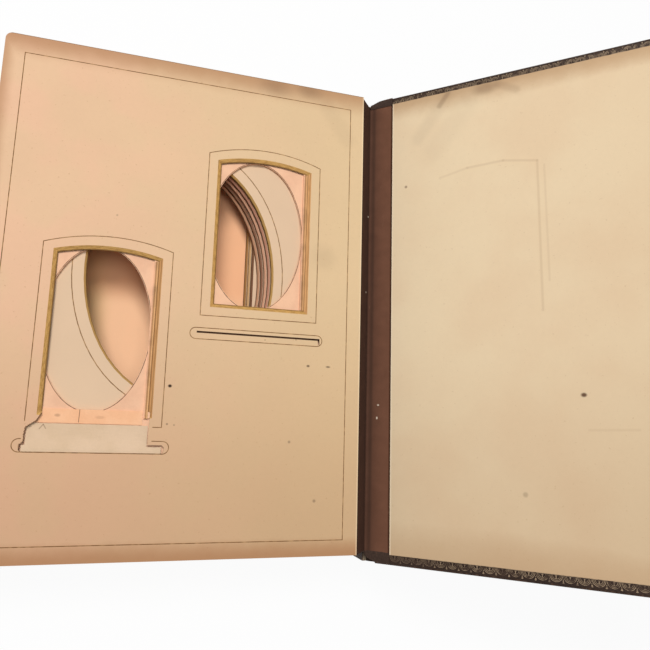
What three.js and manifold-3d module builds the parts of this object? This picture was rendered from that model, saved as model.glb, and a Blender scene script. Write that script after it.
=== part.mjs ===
// Photo album with thick windowed leaves, lying on its front cover and opened at its last leaf.
// Millimetres. X runs from the fore edge to the spine, Y from tail to head, Z up.
// The origin is under the middle of the leaves, on the face that the album lies on.

import * as THREE from "three";
import { mergeVertices } from "three/addons/utils/BufferGeometryUtils.js";
import Module from "manifold-3d";

const wasm = await Module();
wasm.setup();

// Leaves
const LEAF_WIDTH = 197.2;
const LEAF_HEIGHT = 265;
const LEAF_COUNT = 12;
const LEAF_GAP = 0.5;
const LEAF_CORNER = 3.5;
const FORE_EDGE_FAN = 0.35;
const SHEET = 1.1;
const WEB_WIDTH = 3;

// Windows of the open leaf, measured from its fore edge and head
const WINDOW_WIDTH = 53.5;
const WINDOW_HEIGHT = 83.1;
const ARCH_RISE = 3.8;
const BEVEL_WIDTH = 2.1;

// Each window's corner, how far its oval lies to the fore edge and head, and its card strip's height
const UPPER_WINDOW = { fromFore: 112.4, fromHead: 53.5, ovalFore: 3.7, ovalHead: 1.1, stripRaise: 1.6 };
const LOWER_WINDOW = { fromFore: 33.2, fromHead: 112.95, ovalFore: 3.1, ovalHead: 3, stripRaise: 3.3 };

// Ovals in the open leaf's under sheet
const SMALL_OVAL_WIDTH = 52;
const SMALL_OVAL_HEIGHT = 84.4;
const UNDER_BEVEL = 1;

// Pocket behind each window, and the slot that a card goes in by
const LEDGE_WIDTH = 2.2;
const POCKET_LEFT_ROOM = 3;
const POCKET_HEAD_ROOM = 6;
const SLOT_BELOW_WINDOW = 13.3;
const SLOT_WIDTH = 67.1;
const SLOT_START = -6.1;
const SLIT = 1;
const SLOT_DEPTH = 4.4;
const STRIP_HEIGHT = 6.8;
const LIP_REACH = 5.7;
const STRIP_THICKNESS = 0.5;
const TONGUE_THICKNESS = 0.35;
const TONGUE_DROP = 1.7;

// Tear under the lower window: points of its ragged side, out to the fore edge and down from the sill,
// how far it runs along the slot, and the clean cut that ends it at the spine side
const RAGGED_SIDE = [
  { out: 0, down: 2.6 },
  { out: 4.3, down: 5.8 },
  { out: 4.8, down: 8.7 },
  { out: 4.7, down: 12.6 },
  { out: 6.4, down: 14.2 },
];
const RAGGED_FOOT = 5.6;
const CLEAN_CUT = 1.3;

// Large windows of the closed leaves: ovals first, arched ones under them, then plain leaves
const LARGE_OVAL_WIDTH = 99;
const LARGE_OVAL_HEIGHT = 135.6;
const LARGE_CENTRE = { fromFore: 97.4, fromHead: 118.7 };
const LARGE_ARCH_WIDTH = 95;
const LARGE_ARCH_HEIGHT = 132;
const LARGE_BEVEL = 1.1;
const OVAL_LEAVES = 5;
const ARCHED_LEAVES = 3;
const WINDOW_STEP = 1.25;

// Covers
const HEAD_SQUARE = 3.2;
const TAIL_SQUARE = 5.8;
const FORE_SQUARE = 6;
const COVER_CORNER = 4;
const COVER_BOARD = 4;
const LEATHER = 1;
const EDGE_ROUND = 1.2;
const LINING = 0.4;
const LINING_HEAD_MARGIN = 4.3;
const LINING_TAIL_MARGIN = 5.5;
const LINING_FORE_MARGIN = 5;
const LINING_START = 14.6;
const BOARD_START = 6;
const CLOSED_GAP = 0.6;
const SEAT = 0.3;

// Hinge line of a cover, measured from the spine edge and face of the nearest leaf
const COVER_RISE = 43.74;
const VALLEY_REACH = 8.42;
const VALLEY_DEPTH = 10.18;
const AXIS_LIFT = 4.5;

// Spine
const SPINE_LINING = 0.6;
const SPINE_CARD = 2;
const SPINE_CLEARANCE = 0.4;
const OPEN_JOINT_EASE = 1.6;
const CLOSED_JOINT_EASE = 5;
const CLOTH_HEAD_INSET = 1.4;

const OVAL_STEPS = 56;
const ARCH_STEPS = 14;
const CORNER_STEPS = 5;
const BEND_STEPS = 8;
const OVERSHOOT = 1;

const LEAF_THICKNESS = 3 * SHEET;
const LEAF_PITCH = LEAF_THICKNESS + LEAF_GAP;
const BLOCK_HEIGHT = LEAF_COUNT * LEAF_PITCH - LEAF_GAP;
const COVER_THICKNESS = LINING + SEAT + COVER_BOARD + SEAT + LEATHER;
const BLOCK_BOTTOM = COVER_THICKNESS + CLOSED_GAP;
const BLOCK_TOP = BLOCK_BOTTOM + BLOCK_HEIGHT;
const SPINE_EDGE = LEAF_WIDTH / 2;
const FORE_EDGE = -LEAF_WIDTH / 2;
const HEAD = LEAF_HEIGHT / 2;
const TAIL = -LEAF_HEIGHT / 2;
const COVER_HEAD = HEAD + HEAD_SQUARE;
const COVER_TAIL = TAIL - TAIL_SQUARE;

// The raised cover's own directions: along it from the hinge, and square to it towards the leaves.
const RISE = THREE.MathUtils.degToRad(COVER_RISE);
const ALONG = new THREE.Vector2(Math.cos(RISE), Math.sin(RISE));
const INWARD = new THREE.Vector2(-Math.sin(RISE), Math.cos(RISE));
const VALLEY = new THREE.Vector2(VALLEY_REACH, -VALLEY_DEPTH);

// The one axis that brings the raised cover down flat onto the leaves, from where it stands.
const AXIS_ALONG =
  (VALLEY_DEPTH + CLOSED_GAP - AXIS_LIFT * (1 + Math.cos(RISE))) / Math.sin(RISE);
const AXIS = coverPoint(AXIS_ALONG, AXIS_LIFT);
const CLOSED_START = AXIS.x + AXIS_ALONG;
const COVER_END = CLOSED_START + LEAF_WIDTH + FORE_SQUARE;

// The spine's stiff part ends below the ring that the cover's hinge edge sweeps.
const SPINE_END = AXIS.y - AXIS_LIFT - COVER_THICKNESS - SPINE_CLEARANCE;
const SPINE_FACE = VALLEY_REACH + SPINE_LINING + SPINE_CARD;

// A point on the raised cover's section, from the hinge valley along the cover and inward from it.
function coverPoint(along, inward) {
  return VALLEY.clone()
    .addScaledVector(ALONG, along)
    .addScaledVector(INWARD, inward);
}

function leafX(fromFore) {
  return FORE_EDGE + fromFore;
}

function leafY(fromHead) {
  return HEAD - fromHead;
}

function leafTop(index) {
  return BLOCK_TOP - index * LEAF_PITCH;
}

// Solids
function solidOf(geometry) {
  const plain = new THREE.BufferGeometry();
  plain.setAttribute("position", geometry.getAttribute("position"));
  if (geometry.index) plain.setIndex(geometry.index);
  const merged = mergeVertices(plain, 1e-4);
  return new wasm.Manifold(
    new wasm.Mesh({
      numProp: 3,
      vertProperties: new Float32Array(merged.getAttribute("position").array),
      triVerts: new Uint32Array(merged.index.array),
    }),
  );
}

function geometryOf(solid) {
  const mesh = solid.getMesh();
  const geometry = new THREE.BufferGeometry();
  geometry.setAttribute("position", new THREE.BufferAttribute(mesh.vertProperties, 3));
  geometry.setIndex(new THREE.BufferAttribute(mesh.triVerts, 1));
  geometry.computeVertexNormals();
  return geometry;
}

function piece(name, solid, finish) {
  const mesh = new THREE.Mesh(geometryOf(solid), new THREE.MeshStandardMaterial(finish));
  mesh.name = name;
  return mesh;
}

function block(x, y, z) {
  const geometry = new THREE.BoxGeometry(x[1] - x[0], y[1] - y[0], z[1] - z[0]);
  geometry.translate((x[0] + x[1]) / 2, (y[0] + y[1]) / 2, (z[0] + z[1]) / 2);
  return solidOf(geometry);
}

// A flat shape in the XY plane, made as thick as the span from low to high.
function plate(shape, low, high) {
  const geometry = new THREE.ExtrudeGeometry(shape, {
    depth: high - low,
    bevelEnabled: false,
    curveSegments: CORNER_STEPS,
  });
  geometry.translate(0, 0, low);
  return solidOf(geometry);
}

// A section in the XZ plane, run along Y between two ends.
function bar(points, low, high) {
  const geometry = new THREE.ExtrudeGeometry(new THREE.Shape(points), {
    depth: high - low,
    bevelEnabled: false,
  });
  geometry.rotateX(Math.PI / 2);
  geometry.translate(0, high, 0);
  return solidOf(geometry);
}

// A section in the YZ plane, run along X between two ends.
function rail(points, low, high) {
  const geometry = new THREE.ExtrudeGeometry(new THREE.Shape(points), {
    depth: high - low,
    bevelEnabled: false,
  });
  geometry.rotateX(Math.PI / 2);
  geometry.rotateZ(Math.PI / 2);
  geometry.translate(low, 0, 0);
  return solidOf(geometry);
}

// A solid through level outlines of equal point count, given from the lowest up.
function loft(rings) {
  const count = rings[0].points.length;
  const positions = rings.flatMap(({ points, z }) => points.flatMap((p) => [p.x, p.y, z]));
  const faces = [];
  for (let ring = 0; ring + 1 < rings.length; ring += 1) {
    for (let i = 0; i < count; i += 1) {
      const a = ring * count + i;
      const b = ring * count + ((i + 1) % count);
      faces.push(a, b, b + count, a, b + count, a + count);
    }
  }
  const last = (rings.length - 1) * count;
  for (const [i, j, k] of THREE.ShapeUtils.triangulateShape(rings[0].points, [])) {
    faces.push(i, k, j);
    faces.push(last + i, last + j, last + k);
  }
  const geometry = new THREE.BufferGeometry();
  geometry.setAttribute("position", new THREE.Float32BufferAttribute(positions, 3));
  geometry.setIndex(faces);
  return solidOf(geometry);
}

// A strip of even thickness whose one face follows the points, and whose other face lies to their right.
function stripSection(points, thickness) {
  const offset = points.map((point, i) => {
    const before = points[Math.max(i - 1, 0)];
    const after = points[Math.min(i + 1, points.length - 1)];
    const first = point.clone().sub(before);
    const second = after.clone().sub(point);
    const into = first.lengthSq() ? first.normalize() : second.clone().normalize();
    const out = second.lengthSq() ? second.normalize() : into.clone();
    const sum = into.clone().add(out).normalize();
    const right = new THREE.Vector2(sum.y, -sum.x);
    const mitre = right.dot(new THREE.Vector2(out.y, -out.x));
    return point.clone().addScaledVector(right, thickness / mitre);
  });
  return [...points, ...offset.reverse()];
}

// Outlines
function ovalOutline({ x, y }, width, height) {
  return Array.from({ length: OVAL_STEPS }, (unused, i) => {
    const turn = (2 * Math.PI * i) / OVAL_STEPS;
    return new THREE.Vector2(x + (width / 2) * Math.cos(turn), y + (height / 2) * Math.sin(turn));
  });
}

// A window with straight sides and a low arch over them; inset draws every side in.
function archOutline({ left, shoulder }, width, height, rise, inset) {
  const half = width / 2;
  const radius = (half * half + rise * rise) / (2 * rise);
  const centre = new THREE.Vector2(left + half, shoulder + rise - radius);
  const reach = half - inset;
  const arc = radius - inset;
  const spread = Math.asin(reach / arc);
  const top = Array.from({ length: ARCH_STEPS + 1 }, (unused, i) => {
    const turn = spread - (2 * spread * i) / ARCH_STEPS;
    return new THREE.Vector2(centre.x + arc * Math.sin(turn), centre.y + arc * Math.cos(turn));
  });
  const foot = shoulder - height + inset;
  return [
    new THREE.Vector2(centre.x - reach, foot),
    new THREE.Vector2(centre.x + reach, foot),
    ...top,
  ];
}

// Cuts a window whose edge slopes in over the bevel's depth and then runs straight down.
function bevelledCut(outline, bevel, top, bevelDepth, bottom) {
  return loft([
    { points: outline(bevel), z: bottom },
    { points: outline(bevel), z: top - bevelDepth },
    { points: outline(0), z: top },
    { points: outline(0), z: top + LEAF_GAP / 2 },
  ]);
}

function leafShape(foreShift) {
  const left = FORE_EDGE - foreShift;
  const shape = new THREE.Shape();
  shape.moveTo(SPINE_EDGE, TAIL);
  shape.lineTo(SPINE_EDGE, HEAD);
  shape.lineTo(left + LEAF_CORNER, HEAD);
  shape.absarc(left + LEAF_CORNER, HEAD - LEAF_CORNER, LEAF_CORNER, Math.PI / 2, Math.PI, false);
  shape.lineTo(left, TAIL + LEAF_CORNER);
  shape.absarc(left + LEAF_CORNER, TAIL + LEAF_CORNER, LEAF_CORNER, Math.PI, 1.5 * Math.PI, false);
  return shape;
}

// Closed leaves: one solid, slit between the leaves, joined along the spine, and windowed.
function largeOval(step) {
  const centre = { x: leafX(LARGE_CENTRE.fromFore) - step, y: leafY(LARGE_CENTRE.fromHead) };
  return (inset) =>
    ovalOutline(centre, LARGE_OVAL_WIDTH - 2 * inset, LARGE_OVAL_HEIGHT - 2 * inset);
}

function largeArch(step) {
  const corner = {
    left: leafX(LARGE_CENTRE.fromFore) - step - LARGE_ARCH_WIDTH / 2,
    shoulder: leafY(LARGE_CENTRE.fromHead) + LARGE_ARCH_HEIGHT / 2,
  };
  return (inset) => archOutline(corner, LARGE_ARCH_WIDTH, LARGE_ARCH_HEIGHT, ARCH_RISE, inset);
}

function windowedLeaf(index) {
  const top = leafTop(index);
  const bottom = top - LEAF_THICKNESS;
  const leaf = plate(leafShape(index * FORE_EDGE_FAN), bottom, top);
  if (index > OVAL_LEAVES + ARCHED_LEAVES) return leaf;
  const step = (index - 1) * WINDOW_STEP;
  const outline = index <= OVAL_LEAVES ? largeOval(step) : largeArch(step);
  return leaf.subtract(bevelledCut(outline, LARGE_BEVEL, top, SHEET, bottom - LEAF_GAP / 2));
}

function leafBlock() {
  const web = block(
    [SPINE_EDGE - WEB_WIDTH, SPINE_EDGE],
    [TAIL, HEAD],
    [BLOCK_BOTTOM, leafTop(1)],
  );
  let leaves = web;
  for (let index = 1; index < LEAF_COUNT; index += 1) leaves = leaves.add(windowedLeaf(index));
  return leaves;
}

// The open leaf is three sheets: the windowed face, a frame that makes the pockets, and an oval-cut back.
const FACE_BOTTOM = BLOCK_TOP - SHEET;
const FRAME_BOTTOM = FACE_BOTTOM - SHEET;
const UNDER_BOTTOM = FRAME_BOTTOM - SHEET;

function smallWindow({ fromFore, fromHead }) {
  const corner = { left: leafX(fromFore), shoulder: leafY(fromHead) };
  return (inset) => archOutline(corner, WINDOW_WIDTH, WINDOW_HEIGHT, ARCH_RISE, inset);
}

function sillY(window) {
  return leafY(window.fromHead + WINDOW_HEIGHT);
}

function slotTop(window) {
  return sillY(window) - SLOT_BELOW_WINDOW;
}

function stripTop(window) {
  return sillY(window) + window.stripRaise;
}

// The card slot: a narrow slit that turns down at its spine end.
function slit(window) {
  const left = leafX(window.fromFore) + SLOT_START;
  const right = left + SLOT_WIDTH;
  const top = slotTop(window);
  const level = [BLOCK_TOP - SHEET - LEAF_GAP, BLOCK_TOP + OVERSHOOT];
  const cut = block([left, right], [top - SLIT, top], level);
  const hook = block([right - SLIT, right], [top - SLOT_DEPTH + SLIT, top], level);
  return cut.add(hook);
}

// The torn strip between the lower window and its slot, with a ragged left side and a clean right one.
function tear(window) {
  const left = leafX(window.fromFore);
  const sill = sillY(window);
  const right = left + WINDOW_WIDTH;
  const lip = slotTop(window) - SLOT_DEPTH;
  const ragged = [
    [left + BEVEL_WIDTH, sill + BEVEL_WIDTH + SLIT],
    [left + BEVEL_WIDTH, sill + SLIT],
    ...RAGGED_SIDE.map(({ out, down }) => [left - out, sill - down]),
    [left - RAGGED_FOOT - SLIT, lip + SLIT],
    [left - RAGGED_FOOT, lip],
  ];
  const clean = [
    [right + LIP_REACH + SEAT, lip],
    [right + LIP_REACH + SLIT, lip + SLIT],
    [right + LIP_REACH + SLIT, lip + SLOT_DEPTH - SLIT],
    [right + LIP_REACH, lip + SLOT_DEPTH],
    [right - CLEAN_CUT, lip + SLOT_DEPTH],
    [right - CLEAN_CUT + SEAT, sill + BEVEL_WIDTH + SLIT],
  ];
  const outline = new THREE.Shape([...ragged, ...clean].map(([x, y]) => new THREE.Vector2(x, y)));
  return plate(outline, FACE_BOTTOM - LEAF_GAP, BLOCK_TOP + OVERSHOOT);
}

function faceSheet() {
  let sheet = plate(leafShape(0), FACE_BOTTOM, BLOCK_TOP);
  for (const window of [UPPER_WINDOW, LOWER_WINDOW]) {
    sheet = sheet.subtract(
      bevelledCut(smallWindow(window), BEVEL_WIDTH, BLOCK_TOP, SHEET, FACE_BOTTOM - LEAF_GAP),
    );
  }
  return sheet.subtract(slit(UPPER_WINDOW)).subtract(tear(LOWER_WINDOW));
}

// One pocket's room in the frame: wider than the card on the fore side, and open down to the slot.
function pocketRoom(window) {
  const left = leafX(window.fromFore);
  const x = [left - SLOT_DEPTH - POCKET_LEFT_ROOM, left + WINDOW_WIDTH - BEVEL_WIDTH - LEDGE_WIDTH];
  const y = [slotTop(window) - SLOT_DEPTH - SLIT, leafY(window.fromHead - POCKET_HEAD_ROOM)];
  const level = [FRAME_BOTTOM - OVERSHOOT, FACE_BOTTOM + OVERSHOOT];
  const mouth = [y[0], sillY(window)];
  return block(x, y, level).add(
    block([x[0], left + SLOT_START + SLOT_WIDTH + SLIT], mouth, level),
  );
}

function frameSheet() {
  let sheet = plate(leafShape(0), FRAME_BOTTOM, FACE_BOTTOM);
  for (const window of [UPPER_WINDOW, LOWER_WINDOW]) sheet = sheet.subtract(pocketRoom(window));
  return sheet;
}

function smallOval({ fromFore, fromHead, ovalFore, ovalHead }) {
  const centre = {
    x: leafX(fromFore) + WINDOW_WIDTH / 2 - ovalFore,
    y: leafY(fromHead + WINDOW_HEIGHT / 2) + ovalHead,
  };
  return (grow) =>
    ovalOutline(centre, SMALL_OVAL_WIDTH + 2 * grow, SMALL_OVAL_HEIGHT + 2 * grow);
}

// The oval's slope faces down, because this sheet is the face of the leaf's other side.
function underSheet() {
  let sheet = plate(leafShape(0), UNDER_BOTTOM, FRAME_BOTTOM);
  for (const window of [UPPER_WINDOW, LOWER_WINDOW]) {
    const outline = smallOval(window);
    sheet = sheet.subtract(
      loft([
        { points: outline(UNDER_BEVEL), z: UNDER_BOTTOM - LEAF_GAP / 2 },
        { points: outline(UNDER_BEVEL), z: UNDER_BOTTOM },
        { points: outline(0), z: FRAME_BOTTOM - SHEET / 2 },
        { points: outline(0), z: FRAME_BOTTOM + OVERSHOOT },
      ]),
    );
  }
  return sheet;
}

// The card strip under each window, on which a picture's lower edge stands.
function pocketStrip(window) {
  const left = leafX(window.fromFore);
  return block(
    [left - SLOT_DEPTH, left + WINDOW_WIDTH - BEVEL_WIDTH - LEDGE_WIDTH - SEAT],
    [stripTop(window) - STRIP_HEIGHT, stripTop(window)],
    [FRAME_BOTTOM, FRAME_BOTTOM + STRIP_THICKNESS],
  );
}

// The tongue that leads a card from the slot into the pocket; rise is how high its lip stands.
function pocketTongue(window, rise) {
  const left = leafX(window.fromFore);
  const right = left + WINDOW_WIDTH;
  const lip = slotTop(window) - SLOT_DEPTH;
  const end = stripTop(window) - STRIP_HEIGHT - SEAT;
  const lipLevel = FACE_BOTTOM - SEAT + rise;
  const endLevel = BLOCK_TOP - TONGUE_DROP;
  const bend = new THREE.CubicBezierCurve(
    new THREE.Vector2(lip + SEAT, lipLevel),
    new THREE.Vector2(lip + SLOT_DEPTH, lipLevel),
    new THREE.Vector2(lip + SLOT_DEPTH, endLevel),
    new THREE.Vector2(end, endLevel),
  );
  const sheet = rail(
    stripSection(bend.getPoints(BEND_STEPS), TONGUE_THICKNESS),
    left - SLOT_WIDTH,
    right + SLOT_WIDTH,
  );
  const level = [FRAME_BOTTOM, BLOCK_TOP + OVERSHOOT];
  const neck = block([left - SLOT_DEPTH + SEAT, right - CLEAN_CUT - SEAT], [lip, end], level);
  const lipPart = block(
    [left + SLOT_START + 2 * SEAT, right + LIP_REACH - SEAT],
    [lip, lip + SLOT_DEPTH - SLIT],
    level,
  );
  return sheet.intersect(neck.add(lipPart));
}

// Spine and hinges, in sections measured from the spine edge and top of the open leaf
function blockSection(points) {
  return points.map((p) => new THREE.Vector2(SPINE_EDGE + p.x, BLOCK_TOP + p.y));
}

// The same section turned over for the front of the block.
function mirrored(points) {
  return points.map((p) => new THREE.Vector2(p.x, -BLOCK_HEIGHT - p.y)).reverse();
}

const SHOULDER_DROP = VALLEY_DEPTH / VALLEY_REACH;
const SHOULDER_LEVEL = -((LINING + SEAT) * Math.hypot(VALLEY_REACH, VALLEY_DEPTH)) / VALLEY_REACH;

// The stubs that the leaves are hinged by, falling away at both covers.
function guards() {
  const upper = [
    new THREE.Vector2(0, SHOULDER_LEVEL),
    new THREE.Vector2(VALLEY_REACH, SHOULDER_LEVEL - VALLEY_REACH * SHOULDER_DROP),
  ];
  return bar(blockSection([...upper, ...mirrored(upper)]), TAIL, HEAD);
}

function spineLining() {
  const end = SHOULDER_LEVEL - VALLEY_DEPTH - SPINE_LINING;
  return spineBar(VALLEY_REACH, VALLEY_REACH + SPINE_LINING, end, TAIL, HEAD);
}

function spineBar(inner, outer, end, low, high) {
  return block(
    [SPINE_EDGE + inner, SPINE_EDGE + outer],
    [low, high],
    [BLOCK_BOTTOM - end, BLOCK_TOP + end],
  );
}

// The section of a cloth strip whose glued end is trimmed flush with the leaf's spine edge.
function clothSection(face) {
  const section = stripSection(face, LINING);
  const slope = face[1].clone().sub(face[0]).normalize();
  section[section.length - 1] = new THREE.Vector2(0, -LINING / slope.x);
  return section;
}

function hingeCloth(section) {
  return bar(blockSection(section), TAIL + SEAT, HEAD - CLOTH_HEAD_INSET);
}

// The cloth turns from the leaf's edge down into the valley and up onto the raised cover.
function backHingeCloth() {
  const face = [new THREE.Vector2(0, 0), VALLEY, coverPoint(LINING_START - SEAT, 0)];
  return hingeCloth(clothSection(face));
}

// The same cloth at the closed front cover, folded up into the joint.
function frontHingeCloth() {
  const turn = CLOSED_START - BOARD_START;
  const face = [
    new THREE.Vector2(0, 0),
    new THREE.Vector2(turn - LINING - SEAT, -BOARD_START),
    new THREE.Vector2(turn, -BOARD_START),
    new THREE.Vector2(turn, CLOSED_GAP),
    new THREE.Vector2(CLOSED_START - LINING_START + SEAT, CLOSED_GAP),
  ];
  return hingeCloth(mirrored(clothSection(face)));
}

// The leather between the spine and a cover leaves the spine upright and meets the cover along it.
function jointLeather(end, direction, ease) {
  const start = new THREE.Vector2(SPINE_FACE, SPINE_END + SEAT);
  const curve = new THREE.CubicBezierCurve(
    start,
    new THREE.Vector2(start.x, start.y + ease),
    end.clone().addScaledVector(direction, -ease),
    end,
  );
  return stripSection(curve.getPoints(BEND_STEPS), LEATHER);
}

function backJointLeather() {
  const end = coverPoint(BOARD_START - SEAT, LEATHER - COVER_THICKNESS);
  const section = jointLeather(end, ALONG, OPEN_JOINT_EASE);
  return bar(blockSection(section), COVER_TAIL, COVER_HEAD);
}

function frontJointLeather() {
  const end = new THREE.Vector2(
    CLOSED_START - BOARD_START + SEAT,
    CLOSED_GAP + COVER_THICKNESS - LEATHER,
  );
  const section = jointLeather(end, new THREE.Vector2(-1, 0), CLOSED_JOINT_EASE);
  return bar(blockSection(mirrored(section)), COVER_TAIL, COVER_HEAD);
}

// Covers, each in its own frame: X from the hinge valley outwards, Z towards the leaves, lining at Z 0
function coverShape(start, end, low, high, corner) {
  const shape = new THREE.Shape();
  shape.moveTo(start, low);
  shape.lineTo(end - corner, low);
  shape.absarc(end - corner, low + corner, corner, -Math.PI / 2, 0, false);
  shape.lineTo(end, high - corner);
  shape.absarc(end - corner, high - corner, corner, 0, Math.PI / 2, false);
  shape.lineTo(start, high);
  return shape;
}

function roundedSlab(low, high) {
  const shape = coverShape(BOARD_START - COVER_CORNER, COVER_END, low, high, COVER_CORNER);
  const geometry = new THREE.ExtrudeGeometry(shape, {
    depth: COVER_THICKNESS - 2 * EDGE_ROUND,
    bevelThickness: EDGE_ROUND,
    bevelSize: EDGE_ROUND,
    bevelOffset: -EDGE_ROUND,
    bevelSegments: 3,
    curveSegments: CORNER_STEPS,
  });
  geometry.translate(0, 0, EDGE_ROUND - COVER_THICKNESS);
  const spare = block(
    [BOARD_START - 2 * COVER_CORNER, BOARD_START],
    [low - OVERSHOOT, high + OVERSHOOT],
    [-COVER_THICKNESS - OVERSHOOT, OVERSHOOT],
  );
  return solidOf(geometry).subtract(spare);
}

function coverBoard(low, high) {
  const edge = LEATHER + SEAT;
  const shape = coverShape(
    BOARD_START,
    COVER_END - edge,
    low + edge,
    high - edge,
    COVER_CORNER - LEATHER,
  );
  return plate(shape, -LINING - SEAT - COVER_BOARD, -LINING - SEAT);
}

// Leather over the outside, round three edges and onto the inside, where the lining meets it.
function coverLeather(low, high, lining) {
  const hollow = plate(
    coverShape(
      BOARD_START - COVER_CORNER,
      COVER_END - LEATHER,
      low + LEATHER,
      high - LEATHER,
      COVER_CORNER - LEATHER,
    ),
    LEATHER - COVER_THICKNESS,
    -LINING,
  );
  const opening = block(
    [BOARD_START - COVER_CORNER, COVER_END - LINING_FORE_MARGIN + SEAT],
    [lining[0] - SEAT, lining[1] + SEAT],
    [-LINING - OVERSHOOT, OVERSHOOT],
  );
  return roundedSlab(low, high).subtract(hollow).subtract(opening);
}

function coverLining(lining) {
  return block([LINING_START, COVER_END - LINING_FORE_MARGIN], lining, [-LINING, 0]);
}

const LEATHER_FINISH = { color: 0x2a1a14, roughness: 0.55, metalness: 0 };
const BOARD_FINISH = { color: 0x9a8468, roughness: 0.9, metalness: 0 };
const PAPER_FINISH = { color: 0xdcc6a0, roughness: 0.9, metalness: 0 };
const PINK_FINISH = { color: 0xe8b995, roughness: 0.9, metalness: 0 };
const CLOTH_FINISH = { color: 0x5a3329, roughness: 0.85, metalness: 0 };
const GUARD_FINISH = { color: 0x8a6a50, roughness: 0.9, metalness: 0 };

// Turning the front cover about Z swaps its ends, so each cover is given its own low and high end.
function cover(name, ends, margins) {
  const [low, high] = ends;
  const lining = [low + margins[0], high - margins[1]];
  const group = new THREE.Group();
  group.add(
    piece(name + "_cover_board", coverBoard(low, high), BOARD_FINISH),
    piece(name + "_cover_leather", coverLeather(low, high, lining), LEATHER_FINISH),
    piece(name + "_cover_lining", coverLining(lining), PAPER_FINISH),
  );
  return group;
}

function backCover() {
  const group = cover(
    "back",
    [COVER_TAIL, COVER_HEAD],
    [LINING_TAIL_MARGIN, LINING_HEAD_MARGIN],
  );
  group.position.set(SPINE_EDGE + VALLEY.x, 0, BLOCK_TOP + VALLEY.y);
  group.rotation.y = -RISE;
  return group;
}

function frontCover() {
  const group = cover(
    "front",
    [-COVER_HEAD, -COVER_TAIL],
    [LINING_HEAD_MARGIN, LINING_TAIL_MARGIN],
  );
  group.position.set(SPINE_EDGE + CLOSED_START, 0, COVER_THICKNESS);
  group.rotation.z = Math.PI;
  return group;
}

function openLeaf() {
  const group = new THREE.Group();
  group.add(
    piece("open_leaf_face", faceSheet(), PAPER_FINISH),
    piece("open_leaf_frame", frameSheet(), PINK_FINISH),
    piece("open_leaf_under", underSheet(), PINK_FINISH),
    piece("upper_pocket_strip", pocketStrip(UPPER_WINDOW), PINK_FINISH),
    piece("lower_pocket_strip", pocketStrip(LOWER_WINDOW), PINK_FINISH),
    piece("upper_pocket_tongue", pocketTongue(UPPER_WINDOW, 0), PAPER_FINISH),
    piece("lower_pocket_tongue", pocketTongue(LOWER_WINDOW, SHEET), PAPER_FINISH),
  );
  return group;
}

function spine() {
  const group = new THREE.Group();
  group.add(
    piece("guards", guards(), GUARD_FINISH),
    piece("spine_lining", spineLining(), GUARD_FINISH),
    piece(
      "spine_card",
      spineBar(VALLEY_REACH + SPINE_LINING, SPINE_FACE, SPINE_END, COVER_TAIL, COVER_HEAD),
      BOARD_FINISH,
    ),
    piece(
      "spine_leather",
      spineBar(SPINE_FACE, SPINE_FACE + LEATHER, SPINE_END, COVER_TAIL, COVER_HEAD),
      LEATHER_FINISH,
    ),
    piece("back_joint_leather", backJointLeather(), LEATHER_FINISH),
    piece("front_joint_leather", frontJointLeather(), LEATHER_FINISH),
    piece("back_hinge_cloth", backHingeCloth(), CLOTH_FINISH),
    piece("front_hinge_cloth", frontHingeCloth(), CLOTH_FINISH),
  );
  return group;
}

const album = new THREE.Group();
album.add(
  piece("closed_leaves", leafBlock(), PAPER_FINISH),
  openLeaf(),
  spine(),
  backCover(),
  frontCover(),
);

export default album;
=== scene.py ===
"""Photo album with thick windowed leaves, open at its last leaf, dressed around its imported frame."""

import logging
import math
import random
from dataclasses import dataclass
from enum import Enum
from typing import Any, Callable, Dict, List, Mapping, Optional, Sequence, Tuple, Union

import bmesh
import bpy
from mathutils import Matrix, Vector
from mathutils.geometry import interpolate_bezier
from mathutils.noise import noise as lattice_noise


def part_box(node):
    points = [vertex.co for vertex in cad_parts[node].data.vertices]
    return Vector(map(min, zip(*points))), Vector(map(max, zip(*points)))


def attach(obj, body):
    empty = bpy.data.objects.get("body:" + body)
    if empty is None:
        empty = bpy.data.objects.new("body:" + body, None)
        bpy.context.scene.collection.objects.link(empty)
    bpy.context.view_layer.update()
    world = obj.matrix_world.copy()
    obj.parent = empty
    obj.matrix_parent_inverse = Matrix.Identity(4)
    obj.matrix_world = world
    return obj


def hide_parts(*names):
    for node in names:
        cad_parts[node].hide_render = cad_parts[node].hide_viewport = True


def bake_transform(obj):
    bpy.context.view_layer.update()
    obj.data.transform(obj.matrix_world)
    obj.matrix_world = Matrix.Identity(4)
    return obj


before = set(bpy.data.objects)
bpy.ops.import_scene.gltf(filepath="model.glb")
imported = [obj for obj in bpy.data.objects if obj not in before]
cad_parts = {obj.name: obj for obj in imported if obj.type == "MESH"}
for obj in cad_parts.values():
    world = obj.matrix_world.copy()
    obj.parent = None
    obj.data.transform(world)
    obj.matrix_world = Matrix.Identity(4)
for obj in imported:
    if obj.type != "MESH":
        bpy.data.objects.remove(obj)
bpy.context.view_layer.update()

log = logging.getLogger("album")

MM = 0.001
Colour = Tuple[float, float, float]
Point = Tuple[float, float]
Arch = Tuple[Point, Point, Point, float]
Key = Union[int, str]

LINING_START = 14.6


class Body(Enum):
    """The moving bodies of the album."""

    BLOCK = "book_block"
    BACK = "back_cover"
    FRONT = "front_cover"


class Slot(Enum):
    """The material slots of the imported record."""

    PAGE = "page_paper"
    LEAF = "leaf_card"
    PINK = "pink_card"
    GUARD = "guard_card"
    BOARD = "board"
    LEATHER = "leather"
    CLOTH = "hinge_cloth"


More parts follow.
